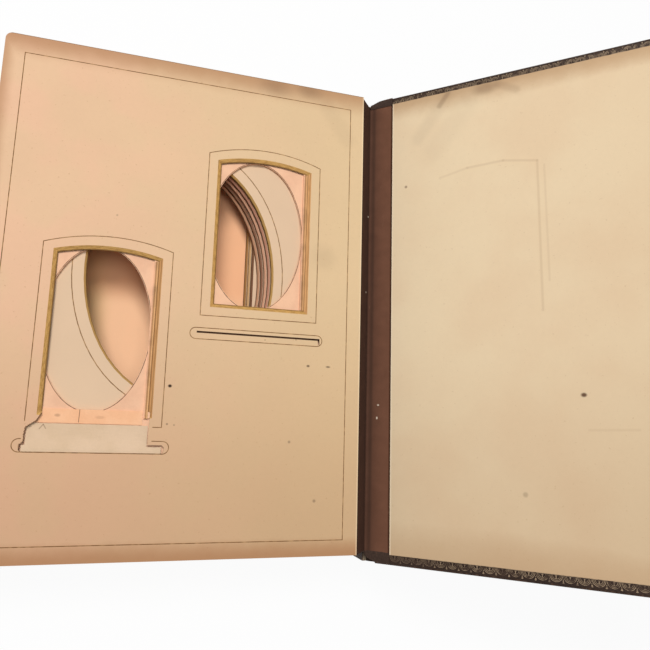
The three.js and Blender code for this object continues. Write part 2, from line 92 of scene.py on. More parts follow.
def operator(operation: str, swapped: bool = False) -> Callable[["Wire", "Number"], "Wire"]:
    """Makes a method that adds one Math node for two values.

    Args:
        operation: the node's operation.
        swapped: whether the other value comes first.

    Returns:
        The method.
    """

    def method(wire: "Wire", other: "Number") -> "Wire":
        """Adds the node."""
        values = (other, wire) if swapped else (wire, other)
        return wire.graph.maths(operation, *values)

    return method


class Wire:
    """A shader value that takes part in Python arithmetic."""

    def __init__(self, graph: "Graph", socket: bpy.types.NodeSocket) -> None:
        """Keeps the output socket and the graph that new nodes go into."""
        self.graph = graph
        self.socket = socket

    __add__ = operator("ADD")
    __radd__ = operator("ADD", True)
    __sub__ = operator("SUBTRACT")
    __rsub__ = operator("SUBTRACT", True)
    __mul__ = operator("MULTIPLY")
    __rmul__ = operator("MULTIPLY", True)
    __truediv__ = operator("DIVIDE")
    __rtruediv__ = operator("DIVIDE", True)
    least = operator("MINIMUM")
    most = operator("MAXIMUM")

    def __abs__(self) -> "Wire":
        """Value without its sign."""
        return self.graph.maths("ABSOLUTE", self)

    def root(self) -> "Wire":
        """Square root of the value."""
        return self.graph.maths("SQRT", self)

    def whole(self) -> "Wire":
        """Value rounded down to a whole number."""
        return self.graph.maths("FLOOR", self)

    def ramp(self, low: float, high: float) -> "Wire":
        """Runs smoothly from 0 at low to 1 at high; low may be the larger.

        Args:
            low: value that gives 0.
            high: value that gives 1.

        Returns:
            The eased share.
        """
        return self.graph.wire(
            "ShaderNodeMapRange",
            {"interpolation_type": "SMOOTHSTEP"},
            {"Value": self, "From Min": low, "From Max": high},
        )


Number = Union[Wire, float]


class Graph:
    """A material's node tree, filled by expressions."""

    def __init__(self, name: str) -> None:
        """Makes an empty node material.

        Args:
            name: name of the material.
        """
        self.material = bpy.data.materials.new(name)
        self.material.use_nodes = True
        self.tree = self.material.node_tree
        self.tree.nodes.clear()
        place = self.node("ShaderNodeTexCoord", {}, {})
        self.place = self.wire(
            "ShaderNodeVectorMath",
            {"operation": "SCALE"},
            {0: Wire(self, place.outputs["Object"]), "Scale": 1 / MM},
        )
        parts = self.node("ShaderNodeSeparateXYZ", {}, {0: self.place})
        self.x, self.y, self.z = (Wire(self, output) for output in parts.outputs)

    def node(
        self, kind: str, settings: Mapping[str, Any], inputs: Mapping[Key, Any]
    ) -> bpy.types.Node:
        """Adds one node.

        Args:
            kind: the node's type.
            settings: attributes set before the inputs.
            inputs: values or wires by socket name or number.

        Returns:
            The new node.
        """
        made = self.tree.nodes.new(kind)
        for name, value in settings.items():
            setattr(made, name, value)
        for key, value in inputs.items():
            socket = made.inputs[key]
            if isinstance(value, Wire):
                self.tree.links.new(value.socket, socket)
            elif socket.type == "RGBA":
                socket.default_value = (*value, 1)
            else:
                socket.default_value = value
        return made

    def wire(
        self,
        kind: str,
        settings: Mapping[str, Any],
        inputs: Mapping[Key, Any],
        output: Key = 0,
    ) -> Wire:
        """Adds one node and gives one of its outputs.

        Args:
            kind: the node's type.
            settings: attributes set before the inputs.
            inputs: values or wires by socket name or number.
            output: name or number of the output.

        Returns:
            The output as a wire.
        """
        return Wire(self, self.node(kind, settings, inputs).outputs[output])

    def maths(self, operation: str, *values: Number) -> Wire:
        """Adds one Math node.

        Args:
            operation: the node's operation.
            *values: its operands.

        Returns:
            The result.
        """
        return self.wire("ShaderNodeMath", {"operation": operation}, dict(enumerate(values)))

    def mix(self, share: Number, first: Any, second: Any) -> Wire:
        """Mixes two colours.

        Args:
            share: 0 for the first colour, 1 for the second.
            first: colour or wire.
            second: colour or wire.

        Returns:
            The mixed colour.
        """
        inputs = {0: share, 6: first, 7: second}
        return self.wire("ShaderNodeMix", {"data_type": "RGBA"}, inputs, 2)

    def shade(self, colour: Any, level: Number) -> Wire:
        """Multiplies a colour by a brightness.

        Args:
            colour: colour or wire.
            level: brightness, where 1 changes nothing.

        Returns:
            The shaded colour.
        """
        inputs = {0: colour, "Scale": level}
        return self.wire("ShaderNodeVectorMath", {"operation": "SCALE"}, inputs)

    def noise(
        self,
        scale: float,
        detail: float = 2.0,
        stretch: Tuple[float, float, float] = (1, 1, 1),
        shift: float = 0.0,
    ) -> Wire:
        """Soft noise between 0 and 1 over the album's own space.

        Args:
            scale: cells for each millimetre.
            detail: octaves.
            stretch: how much closer the cells are along each axis.
            shift: offset that gives another pattern.

        Returns:
            The noise value.
        """
        vector = self.wire(
            "ShaderNodeMapping", {}, {"Vector": self.place, "Location": (shift,) * 3, "Scale": stretch}
        )
        return self.wire(
            "ShaderNodeTexNoise", {}, {"Vector": vector, "Scale": scale, "Detail": detail}
        )

    def stain(
        self, colour: Wire, marks: Sequence["Mark"], across: Wire, down: Wire, tint: Colour
    ) -> Wire:
        """Lays marks over a colour, one after another.

        Args:
            colour: the clean colour.
            marks: the marks.
            across: first coordinate of the shaded point.
            down: second coordinate of the shaded point.
            tint: colour of the marks.

        Returns:
            The stained colour.
        """
        for mark in marks:
            colour = self.mix(mark.mask(across, down), colour, tint)
        return colour

    def slants(self, level: float) -> Tuple[Wire, Wire]:
        """Tells sloping and upright faces from level ones.

        Args:
            level: how far a face that isn't sloping at all points up.

        Returns:
            Shares of bevel and of wall.
        """
        up = self.facing()
        return up.ramp(0.3, 0.5) * up.ramp(0.98, level), up.ramp(0.3, 0.1)

    def foxing(self, shift: float) -> Wire:
        """Fine brown specks, in a pattern given by the shift."""
        return self.noise(0.8, 2.0, (1, 1, 1), shift).ramp(0.66, 0.78)

    def facing(self, axis: str = "Z") -> Wire:
        """How far the face points along an axis, from -1 to 1.

        Args:
            axis: X, Y or Z.

        Returns:
            The share.
        """
        geometry = self.node("ShaderNodeNewGeometry", {}, {})
        parts = self.node(
            "ShaderNodeSeparateXYZ", {}, {0: Wire(self, geometry.outputs["True Normal"])}
        )
        return Wire(self, parts.outputs[axis])

    def bump(self, height: Wire, depth: float, strength: float = 1.0) -> Wire:
        """Turns a height pattern into a normal.

        Args:
            height: pattern between 0 and 1.
            depth: its depth in millimetres.
            strength: share of the effect.

        Returns:
            The normal.
        """
        inputs = {"Height": height, "Distance": depth * MM, "Strength": strength}
        return self.wire("ShaderNodeBump", {}, inputs)

    def surface(
        self,
        colour: Any,
        roughness: Number,
        normal: Optional[Wire] = None,
        metallic: Number = 0.0,
        specular: float = 0.3,
    ) -> None:
        """Ends the tree with one shader.

        Args:
            colour: base colour.
            roughness: roughness.
            normal: bumped normal, if any.
            metallic: share of bare metal.
            specular: strength of the plain reflection.
        """
        inputs = {
            "Base Color": colour,
            "Roughness": roughness,
            "Metallic": metallic,
            "Specular IOR Level": specular,
        }
        if normal:
            inputs["Normal"] = normal
        shader = self.wire("ShaderNodeBsdfPrincipled", {}, inputs)
        self.node("ShaderNodeOutputMaterial", {}, {"Surface": shader})


@dataclass(frozen=True)
class Page:
    """Where the open leaf lies: distances on it run from its fore edge and its head, in millimetres."""

    left: float
    head: float
    top: float
    width: float
    height: float
    sheet: float = 1.1
    pitch: float = 3.8

    @classmethod
    def of_frame(cls) -> "Page":
        """Reads the open leaf's place from the frame.

        Returns:
            The page.
        """
        low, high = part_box("open_leaf_face")
        return cls(
            left=low.x / MM,
            head=high.y / MM,
            top=high.z / MM,
            width=(high.x - low.x) / MM,
            height=(high.y - low.y) / MM,
        )

    def spot(self, across: float, down: float, level: float = 0.0) -> Vector:
        """A point in the album's space.

        Args:
            across: distance from the fore edge.
            down: distance from the head.
            level: height over the page.

        Returns:
            The point, in metres.
        """
        return Vector((self.left + across, self.head - down, self.top + level)) * MM

    def across(self, graph: Graph) -> Wire:
        """Distance of the shaded point from the fore edge."""
        return graph.x - self.left

    def down(self, graph: Graph) -> Wire:
        """Distance of the shaded point from the head."""
        return self.head - graph.y


@dataclass(frozen=True)
class CoverPlane:
    """The inner face of a cover: along it from the hinge, and across it from head to tail."""

    hinge: Vector
    along: Vector
    inward: Vector
    end: float
    low: float
    high: float
    tail_margin: float
    head_margin: float
    fore_margin: float
    thickness: float = 6.0

    def spot(self, along: float, y: float, inward: float = 0.0) -> Vector:
        """A point in the album's space, in metres.

        Args:
            along: distance from the hinge along the cover.
            y: place from tail to head.
            inward: height over the lining.

        Returns:
            The point.
        """
        flat = self.hinge + self.along * along + self.inward * inward
        return Vector((flat.x, y, flat.z)) * MM

    def reach(self, graph: Graph) -> Wire:
        """Distance of the shaded point from the hinge, along the cover."""
        return (graph.x - self.hinge.x) * self.along.x + (graph.z - self.hinge.z) * self.along.z

    def rise(self, graph: Graph) -> Wire:
        """Height of the shaded point over the lining."""
        return (graph.x - self.hinge.x) * self.inward.x + (graph.z - self.hinge.z) * self.inward.z


@dataclass(frozen=True)
class Covers:
    """Works out both covers' planes from the frame."""

    rise: float = math.radians(43.74)
    lining: float = 0.4
    fore_margin: float = 5.0

    def plane(self, name: str, along: Vector, inward: Vector, start: Vector) -> CoverPlane:
        """Builds one plane.

        Args:
            name: back or front.
            along: direction from the hinge to the fore edge.
            inward: direction towards the leaves.
            start: the lining's hinge edge on its inner face, in millimetres.

        Returns:
            The cover's plane.
        """
        low, high = (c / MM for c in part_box(name + "_cover_leather"))
        inner_low, inner_high = (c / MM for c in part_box(name + "_cover_lining"))
        across = abs(along.x)
        return CoverPlane(
            hinge=start - along * LINING_START,
            along=along,
            inward=inward,
            end=LINING_START + self.length(inner_low, inner_high, across) + self.fore_margin,
            low=low.y,
            high=high.y,
            tail_margin=inner_low.y - low.y,
            head_margin=high.y - inner_high.y,
            fore_margin=self.fore_margin,
        )

    def length(self, low: Vector, high: Vector, across: float) -> float:
        """The lining's length along the cover, from its box."""
        return (high.x - low.x - self.lining * math.sqrt(1 - across * across)) / across

    def back(self) -> CoverPlane:
        """The raised back cover's plane.

        Returns:
            The plane of its inner face.
        """
        along = Vector((math.cos(self.rise), 0, math.sin(self.rise)))
        inward = Vector((-math.sin(self.rise), 0, math.cos(self.rise)))
        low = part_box("back_cover_lining")[0] / MM
        start = Vector((low.x, 0, low.z + self.lining * math.cos(self.rise)))
        return self.plane("back", along, inward, start)

    def front(self) -> CoverPlane:
        """The front cover's plane, under the leaves.

        Returns:
            The plane of its inner face.
        """
        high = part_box("front_cover_lining")[1] / MM
        start = Vector((high.x, 0, high.z))
        return self.plane("front", Vector((-1, 0, 0)), Vector((0, 0, 1)), start)


@dataclass(frozen=True)
class Spot:
    """A round stain; stretch draws it out across the page, and soft is the width of its edge."""

    across: float
    down: float
    radius: float
    strength: float
    stretch: float = 1.0
    soft: float = 0.5

    def mask(self, across: Wire, down: Wire) -> Wire:
        """Share of the stain at the shaded point.

        Args:
            across: first coordinate of the shaded point.
            down: second coordinate of the shaded point.

        Returns:
            The share, from 0 to the mark's strength.
        """
        aside = (across - self.across) / self.stretch
        below = down - self.down
        distance = (aside * aside + below * below).root()
        return distance.ramp(self.radius * (1 + self.soft), self.radius * (1 - self.soft)) * self.strength


@dataclass(frozen=True)
class Streak:
    """A stain along a straight line."""

    start: Point
    finish: Point
    width: float
    strength: float

    def mask(self, across: Wire, down: Wire) -> Wire:
        """Share of the stain at the shaded point.

        Args:
            across: first coordinate of the shaded point.
            down: second coordinate of the shaded point.

        Returns:
            The share, from 0 to the mark's strength.
        """
        run = (self.finish[0] - self.start[0], self.finish[1] - self.start[1])
        square = run[0] ** 2 + run[1] ** 2
        aside = across - self.start[0]
        below = down - self.start[1]
        share = ((aside * run[0] + below * run[1]) / square).most(0.0).least(1.0)
        right = aside - share * run[0]
        under = below - share * run[1]
        distance = (right * right + under * under).root()
        return distance.ramp(self.width, self.width * 0.2) * self.strength


Mark = Union[Spot, Streak]


@dataclass(frozen=True)
class Browning:
    """Brown that has crept in from a rim: how far, how strongly and how unevenly."""

    reach: float
    share: float
    uneven: float = 0.6

    def mask(self, distance: Wire, wander: Wire) -> Wire:
        """Share of the brown at a distance from the rim."""
        return (distance + wander * self.uneven).ramp(self.reach, 0.0) * self.share


@dataclass(frozen=True)
class Finish:
    """A surface finish; each kind says how its node tree is filled."""

    name: str

    def material(self) -> bpy.types.Material:
        """Makes the material, once for each finish.

        Returns:
            The material.
        """
        found = bpy.data.materials.get(self.name)
        if found:
            return found
        graph = Graph(self.name)
        self.dress(graph)
        return graph.material

    def dress(self, graph: Graph) -> None:
        """Fills the node tree.

        Args:
            graph: the material's graph.
        """
        raise NotImplementedError


def paper_grain(graph: Graph) -> Wire:
    """Fine linen-like grain of the page paper, between 0 and 1."""
    threads = graph.noise(1.7, 1.0, (1.0, 5.0, 1.0)) + graph.noise(1.7, 1.0, (5.0, 1.0, 1.0))
    return threads * 0.5


def gild(graph: Graph, streak: Tuple[float, float, float]) -> Wire:
    """Colour of worn gilding, streaked along the edge that carries it.

    Args:
        graph: the material's graph.
        streak: how much closer the streaks lie along each axis.

    Returns:
        The colour.
    """
    worn = graph.noise(1.3, 3.0, streak, 7.0).ramp(0.38, 0.68)
    dusty = graph.noise(3.0, 2.0, (1, 1, 1), 3.0).ramp(0.35, 0.75)
    gold = graph.mix(worn, (0.64, 0.36, 0.10), (0.42, 0.21, 0.05))
    return graph.mix(dusty * 0.4, gold, (0.72, 0.48, 0.22))


@dataclass(frozen=True)
class PagePaper(Finish):
    """Cream facing of the open leaf: pinker at the fore edge, browned at its rims and gilt inside."""

    page: Page
    fore_tint: Colour = (0.80, 0.50, 0.32)
    spine_tint: Colour = (0.72, 0.52, 0.305)
    green_tint: Colour = (0.72, 0.53, 0.31)
    brown: Colour = (0.42, 0.20, 0.09)
    dark: Colour = (0.035, 0.018, 0.01)
    light: Colour = (0.98, 0.78, 0.52)
    torn_dark: Colour = (0.10, 0.045, 0.02)
    torn_light: Colour = (0.36, 0.2, 0.1)
    # Colour of the painted shade at the foot of the gilt bevels.
    bevel_foot_shade: Colour = (0.16, 0.075, 0.02)
    raw_light: Colour = (0.66, 0.35, 0.14)
    raw_dark: Colour = (0.42, 0.19, 0.06)
    # Colour of the brown line on the raw card, also used for painted shade at its foot.
    raw_line_and_foot_shade: Colour = (0.22, 0.09, 0.025)
    head_rim: Browning = Browning(15.0, 0.72)
    tail_rim: Browning = Browning(18.0, 0.85)
    fore_rim: Browning = Browning(7.0, 0.6, 0.3)
    marks: Sequence[Mark] = ()

    def dress(self, graph: Graph) -> None:
        """Fills the node tree.

        Args:
            graph: the material's graph.
        """
        across, down = self.page.across(graph), self.page.down(graph)
        paper = graph.mix(across.ramp(0.0, self.page.width), self.fore_tint, self.spine_tint)
        patches = graph.noise(0.03, 3.0, (1, 1, 1), 21.0).ramp(0.42, 0.62)
        paper = graph.mix(patches * 0.32, paper, self.green_tint)
        fine = graph.noise(0.35, 3.0)
        paper = graph.shade(paper, 0.93 + graph.noise(0.022, 3.0) * 0.09 + fine * 0.04)
        paper = graph.mix(self.browning(graph, across, down), paper, self.brown)
        paper = graph.mix(graph.foxing(31.0) * 0.3, paper, self.brown)
        paper = graph.stain(paper, self.marks, across, down, self.dark)
        grain = paper_grain(graph)
        paper = graph.shade(paper, 0.96 + grain * 0.08)
        rims = down.ramp(0.5, 0.15) * 0.45
        paper = graph.mix(rims, paper, self.dark)
        # Painted highlight: a light band along the page's spine edge.
        spine_edge_highlight = across.ramp(self.page.width - 0.9, self.page.width - 0.3)
        paper = graph.mix(spine_edge_highlight * 0.45, paper, self.light)
        bevel, wall = graph.slants(0.93)
        rim = across.least(down).least(self.page.height - down).ramp(4.0, 3.0)
        colour = graph.mix(wall * (1 - rim), paper, self.cut_edge(graph, down))
        colour = graph.mix(bevel, colour, self.window_bevel(graph))
        colour = graph.mix(wall * rim, colour, gild(graph, (0.25, 0.25, 3.0)))
        gilt = bevel.most(wall * rim)
        normal = graph.bump(grain + fine * 0.5, 0.035)
        graph.surface(colour, 0.82 - gilt * 0.3, normal, gilt * 0.2, 0.25)

    def browning(self, graph: Graph, across: Wire, down: Wire) -> Wire:
        """Share of the brown that has crept in from the rims, with the page darker towards the tail.

        Args:
            graph: the material's graph.
            across: distance of the shaded point from the fore edge.
            down: its distance from the head.

        Returns:
            The share.
        """
        wander = graph.noise(0.12, 3.0) * 6.0 - 3.0
        head = self.head_rim.mask(down, wander)
        tail = self.tail_rim.mask(self.page.height - down, wander)
        fore = self.fore_rim.mask(across, wander)
        low = down.ramp(110.0, 262.0) * 0.36
        return head.most(tail).most(fore).most(low)

    def cut_edge(self, graph: Graph, down: Wire) -> Wire:
        """Colour of torn paper and, at the two slots, painted shade for the dark slit.

        Args:
            graph: the material's graph.
            down: distance of the shaded point from the head.

        Returns:
            The colour.
        """
        torn = graph.mix(graph.noise(2.2).ramp(0.35, 0.65), self.torn_dark, self.torn_light)
        # Painted shade: the walls inside both slits take the dark colour.
        upper = down.ramp(147.5, 148.5) * down.ramp(156.0, 155.0)
        return graph.mix(upper.most(down.ramp(205.5, 206.5)), torn, self.dark)

    def window_bevel(self, graph: Graph) -> Wire:
        """Colour of the bevels: gilt with painted shade at the foot, and rubbed to raw card at the spine
        side.

        Args:
            graph: the material's graph.

        Returns:
            The colour.
        """
        depth = self.page.top - graph.z
        # Painted shade: the lower part of each bevel is darkened.
        foot = depth.ramp(self.page.sheet * 0.68, self.page.sheet * 0.9)
        gilt = graph.mix(foot * 0.75, gild(graph, (0.25, 0.25, 3.0)), self.bevel_foot_shade)
        streaks = graph.noise(1.1, 2.0, (2.5, 0.12, 2.5), 5.0).ramp(0.4, 0.6)
        raw = graph.mix(streaks * 0.5, self.raw_light, self.raw_dark)
        line = depth.ramp(0.22, 0.3) * depth.ramp(0.42, 0.34)
        raw = graph.mix(line.most(foot) * 0.7, raw, self.raw_line_and_foot_shade)
        return graph.mix(graph.facing("X").ramp(-0.15, -0.3), gilt, raw)


@dataclass(frozen=True)
class LeafCard(Finish):
    """Closed leaves: cream facings, gilt outer edges, and a tone of its own for each window edge."""

    page: Page
    face: Colour = (0.73, 0.52, 0.345)
    deep: Colour = (0.93, 0.56, 0.33)
    # Painted shade of the deepest face: at its fore side, and redder at its head.
    shaded: Colour = (0.66, 0.45, 0.19)
    top_shade_tint: Colour = (0.88, 0.42, 0.21)
    worn: Colour = (0.42, 0.18, 0.10)
    # Colour of the painted shade at the foot of each window bevel.
    foot: Colour = (0.12, 0.055, 0.02)
    tones: Sequence[Colour] = (
        (0.58, 0.34, 0.11),
        (0.60, 0.29, 0.19),
        (0.78, 0.43, 0.27),
        (0.34, 0.17, 0.10),
        (0.66, 0.36, 0.21),
        (0.24, 0.12, 0.065),
        (0.72, 0.46, 0.22),
        (0.44, 0.23, 0.08),
    )

    def dress(self, graph: Graph) -> None:
        """Fills the node tree.

        Args:
            graph: the material's graph.
        """
        depth = self.page.top - graph.z
        index = ((depth + 0.4) / self.page.pitch).whole()
        bevel, wall = graph.slants(0.9)
        across, down = self.page.across(graph), self.page.down(graph)
        outer = across.least(down).least(self.page.height - down).ramp(6.0, 5.0)
        # Painted shade on the deepest face, where the walls of the well shade it: towards the fore edge
        # and towards the head.
        deep = graph.mix(across.ramp(64.0, 48.0) * 0.7, self.deep, self.shaded)
        deep = graph.mix(down.ramp(134.0, 118.0) * 0.5, deep, self.top_shade_tint)
        face = graph.mix(depth.ramp(33.0, 34.0), self.face, deep)
        face = graph.shade(face, 0.94 + graph.noise(0.03, 3.0) * 0.12)
        face = graph.mix(across.ramp(0.5, -2.0) * 0.7, face, self.worn)
        grain = paper_grain(graph)
        face = graph.shade(face, 0.97 + grain * 0.06)
        tone = self.tone(graph, index)
        # Painted shade: a dark band at the foot of each leaf's window bevel.
        foot = (depth - index * self.page.pitch).ramp(0.75, 1.05)
        edge = graph.mix(foot * 0.65, tone, self.foot)
        edge = graph.shade(edge, 0.8 + graph.noise(1.2, 3.0, (0.3, 0.3, 3.0)) * 0.4)
        colour = graph.mix(bevel.most(wall), face, edge)
        colour = graph.mix(wall * outer, colour, gild(graph, (0.2, 0.2, 3.0)))
        gilt = bevel * 0.6
        graph.surface(colour, 0.8 - gilt * 0.3, graph.bump(grain, 0.03), gilt * 0.3, 0.25)

    def tone(self, graph: Graph, index: Wire) -> Wire:
        """Colour of a leaf's window edge by the leaf's number.

        Args:
            graph: the material's graph.
            index: the leaf's number, counted down.

        Returns:
            The colour.
        """
        colour: Any = self.tones[0]
        for number, tone in enumerate(self.tones[1:], 2):
            colour = graph.mix(index.ramp(number - 0.6, number - 0.4), colour, tone)
        return colour


@dataclass(frozen=True)
class PlainCard(Finish):
    """Plain paper or card in one tint, with soft clouds, fibres and a few marks."""

    page: Page
    tint: Colour
    cloud: Colour
    # Colour of scuffs and cracks, and of painted shadow under a slit.
    scuff_and_shade: Colour = (0.13, 0.055, 0.03)
    grain_depth: float = 0.03
    marks: Sequence[Mark] = ()

    def dress(self, graph: Graph) -> None:
        """Fills the node tree.

        Args:
            graph: the material's graph.
        """
        colour = graph.mix(graph.noise(0.09, 3.0).ramp(0.35, 0.7), self.tint, self.cloud)
        fibre = graph.noise(1.1, 3.0, (1, 1, 1), 11.0)
        colour = graph.shade(colour, 0.95 + fibre * 0.1)
        across, down = self.page.across(graph), self.page.down(graph)
        # The marks are scuffs and cracks, or painted shadow under a slit.
        colour = graph.stain(colour, self.marks, across, down, self.scuff_and_shade)
        graph.surface(colour, 0.85, graph.bump(fibre, self.grain_depth), 0.0, 0.2)


@dataclass(frozen=True)
class EndPaper(Finish):
    """Cream lining of a cover: browned at its rims, with the ghost of a window and old stains."""

    plane: CoverPlane
    page: Page
    tint: Colour = (0.82, 0.65, 0.43)
    warm: Colour = (0.79, 0.60, 0.39)
    brown: Colour = (0.44, 0.25, 0.12)
    ghost: Colour = (0.54, 0.37, 0.22)
    dark: Colour = (0.12, 0.06, 0.035)
    light: Colour = (0.98, 0.80, 0.58)
    head_rim: Browning = Browning(14.0, 0.68)
    tail_rim: Browning = Browning(34.0, 0.55)
    marks: Sequence[Mark] = ()
    ghosts: Sequence[Mark] = ()

    def dress(self, graph: Graph) -> None:
        """Fills the node tree.

        Args:
            graph: the material's graph.
        """
        reach, down = self.plane.reach(graph), self.page.down(graph)
        lining_head = self.page.head - (self.plane.high - self.plane.head_margin)
        lining_tail = self.page.head - (self.plane.low + self.plane.tail_margin)
        colour = graph.mix(graph.noise(0.02, 3.0).ramp(0.35, 0.7), self.tint, self.warm)
        fine = graph.noise(0.4, 3.0)
        colour = graph.shade(colour, 0.97 + fine * 0.04)
        wander = graph.noise(0.1, 3.0) * 7.0 - 3.5
        head = self.head_rim.mask(down - lining_head, wander)
        tail = self.tail_rim.mask(lining_tail - down, wander)
        low = down.ramp(130.0, 262.0) * 0.26 + reach.ramp(60.0, 190.0) * 0.17
        colour = graph.mix(head.most(tail).most(low), colour, self.brown)
        colour = graph.mix(graph.foxing(13.0) * 0.22, colour, self.brown)
        # Painted highlight: a light band along the lining's hinge edge.
        colour = graph.mix(reach.ramp(15.6, 14.9) * 0.5, colour, self.light)
        colour = graph.stain(colour, self.ghosts, reach, down, self.ghost)
        colour = graph.stain(colour, self.marks, reach, down, self.dark)
        grain = paper_grain(graph)
        colour = graph.shade(colour, 0.97 + grain * 0.06)
        graph.surface(colour, 0.85, graph.bump(grain + fine, 0.03), 0.0, 0.2)


@dataclass(frozen=True)
class Leather(Finish):
    """Dark brown goat leather: pebbled grain, rubbed brown along the rims of its cover."""

    plane: CoverPlane
    dark: Colour = (0.030, 0.018, 0.013)
    light: Colour = (0.062, 0.034, 0.022)
    rubbed: Colour = (0.20, 0.105, 0.06)

    def dress(self, graph: Graph) -> None:
        """Fills the node tree.

        Args:
            graph: the material's graph.
        """
        pebble = graph.wire(
            "ShaderNodeTexVoronoi",
            {"feature": "SMOOTH_F1"},
            {"Vector": graph.place, "Scale": 1.3, "Smoothness": 0.6},
        )
        cloud = graph.noise(0.05, 3.0)
        colour = graph.mix(cloud.ramp(0.2, 0.85) * 0.7 + 0.1, self.dark, self.light)
        reach = self.plane.reach(graph)
        rim = (self.plane.end - reach).least(graph.y - self.plane.low).least(self.plane.high - graph.y)
        worn = (rim + graph.noise(0.6, 4.0) * 3.2).ramp(2.6, 1.1)
        worn = worn.most(graph.noise(0.35, 4.0, (1, 1, 1), 9.0).ramp(0.68, 0.8) * 0.5)
        colour = graph.mix(worn * 0.75, colour, self.rubbed)
        colour = graph.shade(colour, 1.15 - pebble * 0.5)
        graph.surface(colour, 0.56 + worn * 0.25, graph.bump(pebble, 0.12, 0.7), 0.0, 0.2)


@dataclass(frozen=True)
class BookCloth(Finish):
    """Brown book cloth: darker at the leaf, redder on the cover, with paper specks."""

    page: Page
    valley: float
    dark: Colour = (0.066, 0.031, 0.020)
    red: Colour = (0.165, 0.071, 0.041)
    # Colour of the painted shade in the creases.
    crease_shade: Colour = (0.03, 0.017, 0.012)
    # Colour of the painted shadow along the cloth's edges.
    edge_shadow: Colour = (0.035, 0.012, 0.004)
    bare: Colour = (0.24, 0.12, 0.075)
    paper: Colour = (0.75, 0.62, 0.48)
    edges: Tuple[float, float] = (0.0, 0.0)
    specks: Sequence[Spot] = ()

    def dress(self, graph: Graph) -> None:
        """Fills the node tree.

        Args:
            graph: the material's graph.
        """
        uv = graph.wire("ShaderNodeUVMap", {"uv_map": "weave"}, {})
        parts = graph.node("ShaderNodeSeparateXYZ", {}, {0: uv})
        over, along = (Wire(graph, parts.outputs[i]) for i in (0, 1))
        warp = graph.maths("SINE", over * 9.0)
        weft = graph.maths("SINE", along * 9.0)
        weave = warp * weft * 0.25 + 0.5
        side = graph.x.ramp(self.valley - 3.5, self.valley + 8.0)
        colour = graph.mix(side, self.dark, self.red)
        colour = graph.shade(colour, 0.8 + graph.noise(0.15, 3.0) * 0.4)
        # Painted shade in the creases either side of the valley.
        for place, width in ((self.valley - 1.5, 0.9), (self.valley + 1.8, 1.3)):
            colour = graph.mix(abs(graph.x - place).ramp(width, 0.0) * 0.4, colour, self.crease_shade)
        # Painted shadow along the cloth's two edges, at the leaf's spine edge and at the lining's edge.
        near = abs(graph.x - self.edges[0]).least(abs(graph.x - self.edges[1]))
        colour = graph.mix(near.ramp(0.75, 0.3) * 0.75, colour, self.edge_shadow)
        colour = graph.shade(colour, 0.86 + weave * 0.3)
        rubbed = graph.noise(0.9, 3.0, (1.0, 0.25, 1.0), 4.0).ramp(0.66, 0.8)
        colour = graph.mix(rubbed * 0.3, colour, self.bare)
        down = self.page.down(graph)
        colour = graph.stain(colour, self.specks, graph.x, down, self.paper)
        graph.surface(colour, 0.9, graph.bump(weave, 0.06), 0.0, 0.15)


@dataclass(frozen=True)
class Board(Finish):
    """Grey-brown millboard with flecks."""

    tint: Colour = (0.30, 0.235, 0.165)
    fleck: Colour = (0.18, 0.13, 0.085)

    def dress(self, graph: Graph) -> None:
        """Fills the node tree.

        Args:
            graph: the material's graph.
        """
        flecks = graph.noise(1.2, 4.0)
        colour = graph.mix(flecks.ramp(0.42, 0.66), self.tint, self.fleck)
        graph.surface(colour, 0.9, graph.bump(flecks, 0.08), 0.0, 0.15)


@dataclass(frozen=True)
class Guards(Finish):
    """Stubs of the leaves, layer on layer, in brown cloth."""

    page: Page
    light: Colour = (0.17, 0.095, 0.06)
    dark: Colour = (0.055, 0.03, 0.02)

    def dress(self, graph: Graph) -> None:
        """Fills the node tree.

        Args:
            graph: the material's graph.
        """
        turn = graph.z * (2 * math.pi / self.page.pitch)
        layer = graph.maths("SINE", turn) * 0.5 + 0.5
        fibre = graph.noise(0.8, 3.0, (1.0, 0.3, 1.0))
        colour = graph.mix(layer * 0.7 + fibre * 0.3, self.dark, self.light)
        graph.surface(colour, 0.9, graph.bump(layer + fibre, 0.3), 0.0, 0.15)


@dataclass(frozen=True)
class Ink(Finish):
    """Thin brown printing that has faded in places."""

    strong: Colour = (0.20, 0.095, 0.032)
    faded: Colour = (0.44, 0.25, 0.11)

    def dress(self, graph: Graph) -> None:
        """Fills the node tree.

        Args:
            graph: the material's graph.
        """
        fade = graph.noise(0.25, 4.0).ramp(0.42, 0.72)
        graph.surface(graph.mix(fade, self.strong, self.faded), 0.8, None, 0.0, 0.2)


@dataclass(frozen=True)
class RubbedGold(Finish):
    """Gold of the tooled roll, mostly rubbed down to the leather."""

    gold: Colour = (0.46, 0.33, 0.21)
    leather: Colour = (0.10, 0.06, 0.038)

    def dress(self, graph: Graph) -> None:
        """Fills the node tree.

        Args:
            graph: the material's graph.
        """
        rubbed = graph.noise(0.35, 4.0, (1, 1, 1), 2.0).ramp(0.44, 0.64)
        worn_end = graph.x.ramp(150.0, 125.0) * graph.y.ramp(0.0, -100.0) * 0.75
        rubbed = rubbed.most(worn_end)
        colour = graph.mix(rubbed, self.gold, self.leather)
        graph.surface(colour, 0.5, None, (1 - rubbed) * 0.35, 0.35)


def to_mesh(name: str, made: bmesh.types.BMesh) -> bpy.types.Mesh:
    """Turns a bmesh into a mesh and frees it.

    Args:
        name: the mesh's name.
        made: the bmesh.

    Returns:
        The mesh.
    """
    mesh = bpy.data.meshes.new(name)
    made.to_mesh(mesh)
    made.free()
    return mesh


